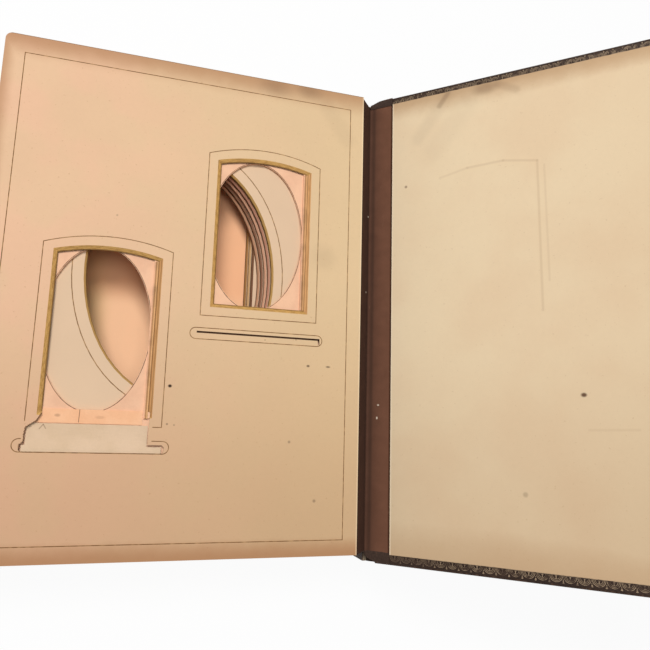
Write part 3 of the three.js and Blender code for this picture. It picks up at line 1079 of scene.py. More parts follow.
def put_object(name: str, data: bpy.types.ID) -> bpy.types.Object:
    """Makes an object at the origin and links it to the scene.

    Args:
        name: the object's name.
        data: its mesh, lamp or camera.

    Returns:
        The object.
    """
    made = bpy.data.objects.new(name, data)
    bpy.context.scene.collection.objects.link(made)
    return made


def put_piece(
    name: str, made: bmesh.types.BMesh, finish: Finish, body: Optional[Body] = None
) -> bpy.types.Object:
    """Turns a bmesh into a piece at the origin.

    Args:
        name: the piece's name.
        made: its shape, which is freed.
        finish: its finish.
        body: the body that it rides on, if any.

    Returns:
        The piece.
    """
    mesh = to_mesh(name, made)
    piece = put_object(name, mesh)
    mesh.materials.append(finish.material())
    if body:
        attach(piece, body.value)
    log.info("%s: %d faces", name, len(mesh.polygons))
    return piece


def thicken(piece: bpy.types.Object, thickness: float, outward: bool) -> None:
    """Gives a thin sheet its thickness.

    Args:
        piece: the sheet.
        thickness: in millimetres.
        outward: whether it grows along its normals.
    """
    solid = piece.modifiers.new("thickness", "SOLIDIFY")
    solid.thickness = thickness * MM
    solid.offset = 1 if outward else -1
    solid.use_even_offset = True


def add_rule(
    made: bmesh.types.BMesh, outline: Sequence[Vector], width: float, rise: float
) -> List[bmesh.types.BMFace]:
    """Adds a printed line round an outline.

    Args:
        made: the bmesh that it goes into.
        outline: level points, counterclockwise from above.
        width: the line's width in millimetres.
        rise: how far it stands over the paper.

    Returns:
        The line's faces.
    """
    verts = [made.verts.new(point + Vector((0, 0, rise * MM))) for point in outline]
    face = made.faces.new(verts)
    face.normal_update()
    rim = bmesh.ops.inset_region(
        made, faces=[face], use_boundary=True, use_even_offset=True, thickness=width * MM
    )
    bmesh.ops.delete(made, geom=[face], context="FACES")
    return rim["faces"]


def add_block(
    made: bmesh.types.BMesh, centre: Vector, size: Vector, rounding: float, segments: int
) -> None:
    """Adds a box with softened edges to an empty bmesh.

    Args:
        made: the bmesh.
        centre: the box's centre.
        size: its sides.
        rounding: how far its edges are cut back, in millimetres.
        segments: faces across each edge.
    """
    bmesh.ops.create_cube(made, size=1, matrix=Matrix.Diagonal((*size, 1)))
    bmesh.ops.translate(made, vec=centre, verts=made.verts)
    bmesh.ops.bevel(
        made,
        geom=made.edges[:],
        offset=rounding * MM,
        segments=segments,
        profile=0.5,
        affect="EDGES",
        material=-1,
    )


def clear_box(made: bmesh.types.BMesh, low: Vector, high: Vector) -> None:
    """Cuts away what lies in an upright box.

    Args:
        made: the bmesh.
        low: its low corner.
        high: its high corner.
    """
    for axis in (0, 1):
        normal = Vector((1, 0, 0)) if axis == 0 else Vector((0, 1, 0))
        for corner in (low, high):
            geometry = made.verts[:] + made.edges[:] + made.faces[:]
            bmesh.ops.bisect_plane(made, geom=geometry, plane_co=corner, plane_no=normal)
    inside = [
        face
        for face in made.faces
        if all(low[i] < face.calc_center_median()[i] < high[i] for i in (0, 1))
    ]
    bmesh.ops.delete(made, geom=inside, context="FACES")


def arch_points(
    page: Page, left: Point, right: Point, foot: Tuple[float, float], apex: float
) -> List[Vector]:
    """Outline of a window with a low arch, counterclockwise from above.

    Args:
        page: the open leaf.
        left: its left shoulder.
        right: its right shoulder.
        foot: how far down the left and right sides end.
        apex: how far down the arch's top lies.

    Returns:
        The points, in metres.
    """
    half = (right[0] - left[0]) / 2
    rise = (left[1] + right[1]) / 2 - apex
    radius = (half * half + rise * rise) / (2 * rise)
    spread = math.asin(half / radius)
    middle = (left[0] + half, apex + radius)
    steps = 24
    arc = []
    for step in range(steps + 1):
        turn = spread - 2 * spread * step / steps
        lean = (right[1] - left[1]) * (0.5 - step / steps)
        arc.append((middle[0] + radius * math.sin(turn), middle[1] - radius * math.cos(turn) + lean))
    corners = [(left[0], foot[0]), (right[0], foot[1])]
    return [page.spot(*point) for point in corners + arc]


def track_points(page: Page, left: float, right: float, top: float, bottom: float) -> List[Vector]:
    """Outline of a level slot with round ends, counterclockwise from above.

    Args:
        page: the open leaf.
        left: distance of its left end from the fore edge.
        right: distance of its right end from the fore edge.
        top: how far down its upper side lies.
        bottom: how far down its lower side lies.

    Returns:
        The points, in metres.
    """
    radius = (bottom - top) / 2
    steps = 12
    points = []
    for centre, start in ((right - radius, math.pi / 2), (left + radius, 1.5 * math.pi)):
        for step in range(steps + 1):
            turn = start - math.pi * step / steps
            points.append((centre + radius * math.cos(turn), top + radius + radius * math.sin(turn)))
    return [page.spot(*point) for point in points]


@dataclass
class PageDetails:
    """What lies on the leaves: printed rules, ledges behind the windows and the torn edge."""

    page: Page
    rule_width: float = 0.42
    rule_rise: float = 0.03
    border: Tuple[float, float, float, float] = (9.8, 8.0, 9.7, 7.9)
    oval_centre: Point = (97.0, 118.4)
    oval_reach: Point = (55.1, 73.8)
    oval_rule_width: float = 0.45
    small_oval_centres: Tuple[Tuple[str, Point], ...] = (
        ("upper", (135.45, 93.95)),
        ("lower", (56.85, 151.5)),
    )
    small_oval_reach: Point = (26.5, 42.7)
    # Width of the painted shadow ring round the small ovals.
    oval_shadow_width: float = 0.32
    next_leaf: float = -3.8
    under_sheet: float = -2.2
    ledge_level: float = -1.1
    ledge_runs: Tuple[Tuple[str, float, float, float], ...] = (
        ("upper", 112.4, 54.9, 134.4),
        ("lower", 33.2, 114.6, 196.3),
    )
    ledge_start: float = 49.3
    ledge_pitch: float = 0.7
    ledge_width: float = 0.66
    ledge_rise: float = 0.16
    ledge_tones: Tuple[Colour, ...] = ((0.84, 0.48, 0.29), (0.50, 0.25, 0.11), (0.74, 0.42, 0.19))
    upper_arch: Arch = ((107.3, 49.9), (171.2, 50.0), (141.6, 141.3), 44.2)
    lower_arch: Arch = ((28.0, 109.7), (91.9, 109.0), (201.1, 200.7), 103.9)
    upper_slot: Tuple[float, ...] = (102.6, 175.0, 147.9, 154.3)
    lower_slot: Tuple[float, ...] = (23.3, 96.1, 207.2, 213.9)
    torn_away: Tuple[Point, Point] = ((27.4, 213.0), (87.3, 199.2))
    ragged: Tuple[Point, ...] = (
        (35.3, 195.0),
        (33.4, 198.7),
        (28.9, 201.9),
        (28.4, 204.8),
        (28.5, 208.7),
        (26.8, 210.2),
        (26.7, 212.6),
    )
    fibre_spacing: float = 0.55

    def build(self) -> None:
        """Builds every detail."""
        self.printed_rules()
        self.oval_rule()
        self.small_ovals()
        self.ledges()
        self.torn_fibres()

    def printed_rules(self) -> None:
        """The border, the rules round both windows and round both slots."""
        page = self.page
        left, right, top, bottom = self.border
        made = bmesh.new()
        corners = [
            (left, page.height - bottom),
            (page.width - right, page.height - bottom),
            (page.width - right, top),
            (left, top),
        ]
        add_rule(made, [page.spot(*corner) for corner in corners], self.rule_width, self.rule_rise)
        add_rule(made, arch_points(page, *self.upper_arch), self.rule_width, self.rule_rise)
        add_rule(made, track_points(page, *self.upper_slot), self.rule_width, self.rule_rise)
        piece = put_piece("printed_rules", made, Ink("rule_ink"), Body.BLOCK)
        thicken(piece, self.rule_rise, False)
        torn = bmesh.new()
        add_rule(torn, arch_points(page, *self.lower_arch), self.rule_width, self.rule_rise)
        add_rule(torn, track_points(page, *self.lower_slot), self.rule_width, self.rule_rise)
        clear_box(torn, page.spot(*self.torn_away[0]), page.spot(*self.torn_away[1]))
        piece = put_piece("torn_window_rules", torn, Ink("rule_ink"), Body.BLOCK)
        thicken(piece, self.rule_rise, False)

    def oval_rule(self) -> None:
        """The rule round the next leaf's oval window."""
        made = bmesh.new()
        outline = self.oval(self.oval_centre, self.oval_reach, self.next_leaf)
        add_rule(made, outline, self.oval_rule_width, self.rule_rise)
        piece = put_piece("oval_window_rule", made, Ink("rule_ink"), Body.BLOCK)
        thicken(piece, self.rule_rise, False)

    def oval(self, centre: Point, reach: Point, level: float) -> List[Vector]:
        """Points of an oval, counterclockwise from above.

        Args:
            centre: its centre, from the fore edge and the head.
            reach: half its width and half its height.
            level: its height over the page.

        Returns:
            The points, in metres.
        """
        steps = 72
        turns = [2 * math.pi * step / steps for step in range(steps)]
        return [
            self.page.spot(centre[0] + reach[0] * math.cos(t), centre[1] - reach[1] * math.sin(t), level)
            for t in turns
        ]

    def small_ovals(self) -> None:
        """Painted shadow: a thin dark ring round the edge of each oval in the open leaf's under sheet."""
        for name, centre in self.small_oval_centres:
            made = bmesh.new()
            outline = self.oval(centre, self.small_oval_reach, self.under_sheet)
            add_rule(made, outline, self.oval_shadow_width, self.rule_rise)
            finish = Ink("oval_shadow_ink", (0.12, 0.055, 0.03), (0.5, 0.28, 0.16))
            piece = put_piece(name + "_oval_shadow_line", made, finish, Body.BLOCK)
            thicken(piece, self.rule_rise, False)

    def ledges(self) -> None:
        """The stepped card edges that show at the spine side of each window."""
        page = self.page
        for name, left, top, bottom in self.ledge_runs:
            for step, tone in enumerate(self.ledge_tones):
                made = bmesh.new()
                width, height = self.ledge_width, self.ledge_rise * (step + 1)
                start = left + self.ledge_start + step * self.ledge_pitch
                size = Vector((width, bottom - top, height)) * MM
                centre = page.spot(start + width / 2, (top + bottom) / 2, self.ledge_level + height / 2)
                add_block(made, centre, size, 0.04, 1)
                finish = PlainCard(f"ledge_card_{step}", page, tone, tuple(0.7 * c for c in tone), 0.1)
                put_piece(f"{name}_ledge_{step + 1}", made, finish, Body.BLOCK)

    def torn_fibres(self) -> None:
        """Loose paper fibres along the ragged side of the tear."""
        source = random.Random(5)
        made = bmesh.new()
        path = [self.page.spot(*point) for point in self.ragged]
        for start, finish in zip(path, path[1:]):
            count = max(2, round((finish - start).length / MM / self.fibre_spacing))
            for step in range(count):
                centre = start.lerp(finish, (step + source.random()) / count)
                self.fibre(made, centre, source)
        finish = PlainCard("torn_paper", self.page, (0.30, 0.16, 0.085), (0.11, 0.05, 0.03), 0.1)
        put_piece("torn_fibres", made, finish, Body.BLOCK)

    def fibre(self, made: bmesh.types.BMesh, centre: Vector, source: random.Random) -> None:
        """Adds one flattened tuft of paper.

        Args:
            made: the bmesh that it goes into.
            centre: its place on the page.
            source: the seeded source of its size and turn.
        """
        size = Vector((source.uniform(0.3, 0.6), source.uniform(0.12, 0.3), source.uniform(0.08, 0.16)))
        turn = Matrix.Rotation(source.uniform(0, math.pi), 4, "Z")
        shape = Matrix.Translation(centre) @ turn @ Matrix.Diagonal(Vector((*(size * MM), 1)))
        bmesh.ops.create_icosphere(made, subdivisions=1, radius=1, matrix=shape)


@dataclass
class HingeStrips:
    """Cloth and leather that bend across the two joints."""

    page: Page
    back: CoverPlane
    front: CoverPlane
    cloth_thickness: float = 0.4
    leather_thickness: float = 1.0
    cloth_reach: float = 14.3
    board_start: float = 6.0
    closed_gap: float = 0.6
    seat: float = 0.3
    seam: float = 0.02
    spine_face: float = 11.02
    open_ease: float = 1.6
    closed_ease: float = 5.0
    step: float = 0.8
    bend: float = 1.2
    fold_on_leaf: Tuple[Point, ...] = ((2.8, 0.0), (1.3, 0.16))
    fold_on_cover: Tuple[Point, ...] = (
        (0.2, 0.42),
        (1.5, 0.55),
        (3.0, 0.66),
        (4.5, 0.76),
        (6.0, 0.84),
        (9.0, 0.88),
        (12.0, 0.9),
        (14.5, 0.9),
    )
    fold_swell: float = 0.45
    fold_least: float = 0.3

    def build(self) -> None:
        """Builds the four strips and the folded leather ends."""
        self.back_cloth()
        self.front_cloth()
        self.back_leather()
        self.front_leather()
        self.turned_ends()
        self.spine_ends()

    def spine_edge(self) -> float:
        """Where the leaves end at the spine, in millimetres."""
        return self.page.left + self.page.width

    def sheet(
        self,
        name: str,
        path: Sequence[Vector],
        ends: Tuple[float, float],
        finish: Finish,
        slot: Slot,
    ) -> bpy.types.Object:
        """Bends a grid along a section.

        Args:
            name: the piece's name.
            path: section points, in millimetres, with Y 0.
            ends: where the strip starts and ends along Y.
            finish: its finish.
            slot: the record's slot; not used.

        Returns:
            The piece, with a UV map in millimetres.
        """
        rows = 90
        made = bmesh.new()
        bmesh.ops.create_grid(made, x_segments=len(path) - 1, y_segments=rows, size=1)
        lengths = [0.0]
        for first, second in zip(path, path[1:]):
            lengths.append(lengths[-1] + (second - first).length)
        uv = made.loops.layers.uv.new("weave")
        run = ends[1] - ends[0]
        columns = len(path) - 1
        for face in made.faces:
            for loop in face.loops:
                column = round((loop.vert.co.x + 1) / 2 * columns)
                loop[uv].uv = (lengths[column], (loop.vert.co.y + 1) / 2 * run)
        for vert in made.verts:
            column = round((vert.co.x + 1) / 2 * columns)
            along = ends[0] + (vert.co.y + 1) / 2 * run
            vert.co = Vector((path[column].x, along, path[column].z)) * MM
        return put_piece(name, made, finish)

    def resample(self, points: Sequence[Vector], step: float) -> List[Vector]:
        """Points along straight runs, no further apart than the step.

        Args:
            points: corners of the runs.
            step: the longest step.

        Returns:
            The points, with every corner kept.
        """
        path = [points[0]]
        for first, second in zip(points, points[1:]):
            count = max(1, math.ceil((second - first).length / step))
            path += [first.lerp(second, (i + 1) / count) for i in range(count)]
        return path

    def cloth_ends(self) -> Tuple[float, float]:
        """Where the hinge cloths start and end along Y, from the frame."""
        low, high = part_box("back_hinge_cloth")
        return low.y / MM, high.y / MM

    def back_cloth(self) -> None:
        """The cloth in the gutter, from the open leaf into the valley and onto the raised cover."""
        edge = Vector((self.spine_edge(), 0, self.page.top))
        valley = self.back.hinge
        landing = valley + self.back.along * self.cloth_reach
        bend = self.bend
        down = (valley - edge).normalized()
        turn = interpolate_bezier(
            valley - down * bend,
            valley - down * (bend / 3),
            valley + self.back.along * (bend / 3),
            valley + self.back.along * bend,
            7,
        )
        start = self.resample([edge, valley - down * bend], self.step)
        rest = self.resample([valley + self.back.along * bend, landing], self.step)
        path = start[:-1] + list(turn) + rest[1:]
        specks = (
            Spot(105.6, 72.1, 0.55, 0.9, 0.7),
            Spot(104.3, 119.1, 0.5, 0.9, 0.6),
            Spot(112.1, 184.6, 0.45, 0.8),
            Spot(111.6, 191.9, 0.7, 0.95, 0.45),
        )
        finish = BookCloth(
            "hinge_cloth_back", self.page, valley.x, edges=(edge.x, landing.x), specks=specks
        )
        ends = self.cloth_ends()
        piece = self.sheet("back_gutter_cloth", path, ends, finish, Slot.CLOTH)
        self.ruffle(piece, self.spine_edge() + 1.0)
        thicken(piece, self.cloth_thickness, False)
        self.bend_in_gutter(piece)
        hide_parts("back_hinge_cloth")
        self.declare(path)

    def bend_in_gutter(self, piece: bpy.types.Object) -> None:
        """Bakes a piece's place into its mesh.

        Args:
            piece: the piece.
        """
        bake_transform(piece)

    def front_cloth(self) -> None:
        """The same cloth at the closed front cover, tucked up into the joint."""
        edge = self.spine_edge()
        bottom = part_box("closed_leaves")[0].z / MM
        face = bottom - self.closed_gap
        board = self.front.hinge.x - self.board_start
        points = [
            Vector((edge, 0, bottom)),
            Vector((board - self.cloth_thickness - self.seat, 0, bottom + self.board_start)),
            Vector((board, 0, bottom + self.board_start)),
            Vector((board, 0, bottom)),
        ]
        path = self.resample(points, self.step)
        path += self.resample([points[-1], Vector((board, 0, face))], 0.035)[1:]
        landing = Vector((self.front.hinge.x - self.cloth_reach, 0, face))
        path += self.resample([path[-1], landing], self.step)[1:]
        finish = BookCloth("hinge_cloth_front", self.page, board + 4.0)
        ends = self.cloth_ends()
        piece = self.sheet("front_gutter_cloth", path, ends, finish, Slot.CLOTH)
        thicken(piece, self.cloth_thickness, True)
        board * MM
        board * MM
        face * MM
        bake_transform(piece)
        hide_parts("front_hinge_cloth")
        self.declare(path)

    def turned_leather(self) -> Leather:
        """Finish of the leather that is folded in, paler than the covers'."""
        return Leather("turned_leather", self.back, (0.04, 0.024, 0.018), (0.09, 0.05, 0.034))

    def turned_ends(self) -> None:
        """Leather folded in over the ends of the gutter cloth, tapering out on the leaves' side."""
        valley, along = self.back.hinge, self.back.along
        edge = Vector((self.spine_edge(), 0, self.page.top))
        slope = (edge - valley).normalized()
        stations = [valley + slope * reach for reach, _ in self.fold_on_leaf]
        stations += [valley + along * reach for reach, _ in self.fold_on_cover]
        shares = [share for _, share in self.fold_on_leaf + self.fold_on_cover]
        cloth = self.cloth_ends()
        finish = self.turned_leather()
        for name, inner, outer in (
            ("tail_turned_leather", cloth[0] + 0.4, self.back.low),
            ("head_turned_leather", cloth[1] - 0.3, self.back.high),
        ):
            made = bmesh.new()
            rows = 4
            bmesh.ops.create_grid(made, x_segments=len(stations) - 1, y_segments=rows, size=1)
            for vert in made.verts:
                column = round((vert.co.x + 1) / 2 * (len(stations) - 1))
                row = (vert.co.y + 1) / 2
                swell = self.fold_swell * math.sin(math.pi * row) * shares[column]
                reach = self.fold_least + shares[column] * abs(outer - inner)
                place = stations[column] + self.back.inward * swell
                along_y = inner + math.copysign(reach * row, outer - inner)
                vert.co = Vector((place.x, along_y, place.z)) * MM
            bmesh.ops.recalc_face_normals(made, faces=made.faces[:])
            piece = put_piece(name, made, finish)
            thicken(piece, 0.3, False)
            self.bend_in_gutter(piece)

    def spine_ends(self) -> None:
        """Leather folded over the inner face of the spine card at head and tail."""
        low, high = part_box("spine_card")
        inner_low, inner_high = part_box("spine_lining")
        finish = self.turned_leather()
        for name, start, stop in (
            ("spine_tail_fold", low.y, inner_low.y),
            ("spine_head_fold", inner_high.y, high.y),
        ):
            made = bmesh.new()
            size = Vector((0.5 * MM, stop - start, high.z - low.z))
            centre = Vector((low.x - size.x / 2, (start + stop) / 2, (low.z + high.z) / 2))
            add_block(made, centre, size, 0.15, 2)
            put_piece(name, made, finish, Body.BLOCK)

    def declare(
        self,
        path: Sequence[Vector],
    ) -> None:
        """Works out the length of a cloth strip's section, which nothing uses."""
        length = sum((b - a).length for a, b in zip(path, path[1:]))

    def ruffle(self, piece: bpy.types.Object, free_from: float) -> None:
        """Lets the free part of a cloth sink and wander a little.

        Args:
            piece: the strip.
            free_from: where along X it is no longer glued down.
        """
        for vert in piece.data.vertices:
            free = min(max((vert.co.x / MM - free_from) / 3, 0), 1)
            wander = lattice_noise(Vector((vert.co.x / MM / 6, vert.co.y / MM / 9, 0))) - 0.5
            vert.co.z += 0.12 * MM * free * wander

    def leather_path(self, start: Vector, end: Vector, direction: Vector, ease: float) -> List[Vector]:
        """Curve of a joint's leather, upright at the spine and along the cover at its end."""
        upright = Vector((0, 0, math.copysign(ease, end.z - start.z)))
        return list(interpolate_bezier(start, start + upright, end - direction * ease, end, 20))

    def back_leather(self) -> None:
        """The joint leather between the spine and the raised cover."""
        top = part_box("spine_leather")[1].z / MM
        start = Vector((self.spine_edge() + self.spine_face, 0, top + self.seam))
        landing = self.board_start - self.seam
        end = self.back.hinge + self.back.along * landing
        end = end - self.back.inward * (self.back.thickness - self.leather_thickness)
        path = self.leather_path(start, end, self.back.along, self.open_ease)
        finish = Leather("joint_leather_back", self.back)
        ends = (self.back.low, self.back.high)
        piece = self.sheet("back_joint_strip", path, ends, finish, Slot.LEATHER)
        thicken(piece, self.leather_thickness, False)
        end * MM
        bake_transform(piece)
        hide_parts("back_joint_leather")

    def front_leather(self) -> None:
        """The joint leather between the spine and the closed front cover."""
        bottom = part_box("spine_leather")[0].z / MM
        start = Vector((self.spine_edge() + self.spine_face, 0, bottom - self.seam))
        landing = self.front.hinge.x - self.board_start + self.seam
        end = Vector((landing, 0, self.leather_thickness))
        path = self.leather_path(start, end, Vector((-1, 0, 0)), self.closed_ease)
        finish = Leather("joint_leather_front", self.front)
        ends = (self.front.low, self.front.high)
        piece = self.sheet("front_joint_strip", path, ends, finish, Slot.LEATHER)
        thicken(piece, self.leather_thickness, True)
        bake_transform(piece)
        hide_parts("front_joint_leather")


@dataclass
class TooledRoll:
    """The rolled ornament on the leather that is turned in round a cover's lining."""

    plane: CoverPlane
    body: Body
    name: str
    pitch: float = 6.65
    design_reach: float = 4.5
    rim_round: float = 1.2
    line: float = 0.16
    height: float = 0.12
    arcs: Tuple[Point, ...] = ((3.05, 0.24), (2.4, 0.2), (1.75, 0.18))
    beads: Tuple[Tuple[float, ...], ...] = (
        (0.0, 0.75, 0.2, 0.75),
        (0.0, 0.25, 0.62, 0.2),
        (0.0, 1.35, 0.3, 0.3),
        (0.5, 2.75, 0.42, 0.3),
        (0.5, 3.35, 0.62, 0.28),
        (0.5, 1.9, 0.18, 0.35),
    )

    def motif(self) -> bpy.types.Mesh:
        """One motif: three arcs, a drop that hangs in them and beads between it and the next.

        Returns:
            The motif's mesh, in millimetres.
        """
        made = bmesh.new()
        for radius, width in self.arcs:
            self.arc(made, radius, width)
        for share, out, wide, tall in self.beads:
            shape = Matrix.Translation((share * self.pitch, out, self.height / 2))
            shape = shape @ Matrix.Diagonal((wide, tall, self.height, 1))
            bmesh.ops.create_icosphere(made, subdivisions=1, radius=1, matrix=shape)
        return to_mesh("motif", made)

    def arc(self, made: bmesh.types.BMesh, radius: float, width: float) -> None:
        """Spins a small square into a half ring.

        Args:
            made: the bmesh that it goes into.
            radius: the ring's radius.
            width: its width.
        """
        upright = Matrix.Rotation(math.pi / 2, 4, "X")
        place = Matrix.Translation((radius, 0, self.height / 2)) @ upright
        place = place @ Matrix.Diagonal((width / 2, self.height / 2, 1, 1))
        grid = bmesh.ops.create_grid(made, x_segments=1, y_segments=1, size=1, matrix=place)
        face = grid["verts"][0].link_faces[0]
        bmesh.ops.spin(
            made,
            geom=[*face.verts, *face.edges, face],
            cent=(0, 0, 0),
            axis=(0, 0, 1),
            angle=math.pi,
            steps=12,
        )

    def place(self, along: Vector, out: Vector, start: Vector, scale: float) -> Matrix:
        """Matrix that lays a motif on the turned-in leather.

        Args:
            along: direction of the cover's edge.
            out: direction to the cover's rim.
            start: the motif's place, in metres.
            scale: its size, where 1 is as drawn.

        Returns:
            The matrix.
        """
        up = self.plane.inward
        rows = Matrix((along, out, up)).transposed().to_4x4()
        return Matrix.Translation(start) @ rows @ Matrix.Scale(scale * MM, 4)

    def build(self) -> None:
        """Lays the motifs and the fillet lines along all three edges."""
        made = bmesh.new()
        motif = self.motif()
        plane = self.plane
        inner_end = plane.end - plane.fore_margin
        side = inner_end - LINING_START
        low, high = plane.low + plane.tail_margin, plane.high - plane.head_margin
        across = Vector((0, 1, 0))
        for along, out, start, length, margin in (
            (plane.along, -across, plane.spot(LINING_START, low), side, plane.tail_margin),
            (plane.along, across, plane.spot(LINING_START, high), side, plane.head_margin),
            (across, plane.along, plane.spot(inner_end, low), high - low, plane.fore_margin),
        ):
            self.edge(made, motif, along, out, start, length, margin)
        bpy.data.meshes.remove(motif)
        bmesh.ops.recalc_face_normals(made, faces=made.faces[:])
        put_piece(self.name, made, RubbedGold("rubbed_gold"), self.body)

    def edge(
        self,
        made: bmesh.types.BMesh,
        motif: bpy.types.Mesh,
        along: Vector,
        out: Vector,
        start: Vector,
        length: float,
        margin: float,
    ) -> None:
        """Lays motifs and a fine line along one edge.

        Args:
            made: the bmesh that they go into.
            motif: the motif's mesh.
            along: direction of the edge.
            out: direction to the cover's rim.
            start: where the edge starts, on the lining's rim.
            length: how far it runs.
            margin: width of the turned-in leather.
        """
        scale = (margin - self.rim_round) / self.design_reach
        count = round(length / (self.pitch * scale))
        for index in range(count):
            centre = start + along * (length * (index + 0.5) / count * MM) + out * (0.4 * MM)
            self.stamp(made, motif, self.place(along, out, centre, scale))
        middle = start + along * (length / 2 * MM) + out * (0.14 * MM)
        bar = self.place(along, out, middle, 1.0)
        size = Matrix.Diagonal((length, self.line, self.height, 1))
        bmesh.ops.create_cube(made, size=1, matrix=bar @ size)

    def stamp(self, made: bmesh.types.BMesh, motif: bpy.types.Mesh, place: Matrix) -> None:
        """Adds one copy of the motif at a place.

        Args:
            made: the bmesh that it goes into.
            motif: the motif's mesh.
            place: its matrix.
        """
        before = len(made.verts)
        made.from_mesh(motif)
        made.verts.ensure_lookup_table()
        bmesh.ops.transform(made, matrix=place, verts=made.verts[before:])


@dataclass
class Studio:
    """Floor, lights and camera."""

    camera_place: Tuple[float, float, float] = (-19.73, -69.03, 382.74)
    camera_turn: Tuple[float, float, float] = (9.4052, -16.6581, 1.5271)
    lens: float = 34.74
    sensor: float = 36.0
    floor_size: float = 6.0
    floor_glow: float = 0.94
    world_strength: float = 0.16
    lamps: Tuple[Tuple[str, Tuple[float, float, float], float, float], ...] = (
        ("key_light", (-0.24, 0.52, 1.3), 0.45, 13.0),
        ("fill_light", (-0.02, -0.12, 1.45), 0.6, 5.2),
    )

    def build(self) -> None:
        """Sets up the view."""
        self.floor()
        self.world()
        for name, place, size, power in self.lamps:
            self.lamp(name, place, size, power)
        self.camera()
        bpy.context.scene.view_settings.view_transform = "Standard"

    def floor(self) -> None:
        """A plain pale floor that reads as white and keeps the shadow."""
        made = bmesh.new()
        bmesh.ops.create_grid(made, x_segments=1, y_segments=1, size=self.floor_size / 2)
        bmesh.ops.translate(made, vec=(0, 0, -0.1 * MM), verts=made.verts)
        mesh = to_mesh("floor", made)
        floor = put_object("floor", mesh)
        graph = Graph("pale_floor")
        matt = graph.wire("ShaderNodeBsdfDiffuse", {}, {"Color": (0.86, 0.86, 0.86)})
        white = graph.wire("ShaderNodeEmission", {}, {"Color": (1, 1, 1), "Strength": 1.0})
        rays = graph.node("ShaderNodeLightPath", {}, {})
        camera, glossy = (Wire(graph, rays.outputs[f"Is {kind} Ray"]) for kind in ("Camera", "Glossy"))
        seen = camera.most(glossy)
        shader = graph.wire("ShaderNodeMixShader", {}, {0: seen * self.floor_glow, 1: matt, 2: white})
        graph.node("ShaderNodeOutputMaterial", {}, {"Surface": shader})
        mesh.materials.append(graph.material)

    def world(self) -> None:
        """Even light from all round, seen as white."""
        world = bpy.data.worlds.new("studio")
        world.use_nodes = True
        bpy.context.scene.world = world
        tree = world.node_tree
        tree.nodes.clear()
        soft = tree.nodes.new("ShaderNodeBackground")
        soft.inputs["Strength"].default_value = self.world_strength
        white = tree.nodes.new("ShaderNodeBackground")
        rays = tree.nodes.new("ShaderNodeLightPath")
        mixed = tree.nodes.new("ShaderNodeMixShader")
        output = tree.nodes.new("ShaderNodeOutputWorld")
        tree.links.new(rays.outputs["Is Camera Ray"], mixed.inputs[0])
        tree.links.new(soft.outputs[0], mixed.inputs[1])
        tree.links.new(white.outputs[0], mixed.inputs[2])
        tree.links.new(mixed.outputs[0], output.inputs[0])
        for background in (soft, white):
            background.inputs["Color"].default_value = (1, 1, 1, 1)

    def lamp(self, name: str, place: Tuple[float, float, float], size: float, power: float) -> None:
        """Adds a square area light that looks at the album.

        Args:
            name: its name.
            place: where it stands, in metres.
            size: its side, in metres.
            power: its power, in watts.
        """
        light = bpy.data.lights.new(name, "AREA")
        light.size = size
        light.energy = power
        lamp = put_object(name, light)
        lamp.location = place
        lamp.rotation_euler = (-Vector(place)).to_track_quat("-Z", "Y").to_euler()

    def camera(self) -> None:
        """Looks down on the album as the photograph does."""
        data = bpy.data.cameras.new("camera")
        data.lens = self.lens
        data.sensor_width = self.sensor
        camera = put_object("camera", data)
        camera.location = Vector(self.camera_place) * MM
        camera.rotation_euler = [math.radians(turn) for turn in self.camera_turn]
        bpy.context.scene.camera = camera


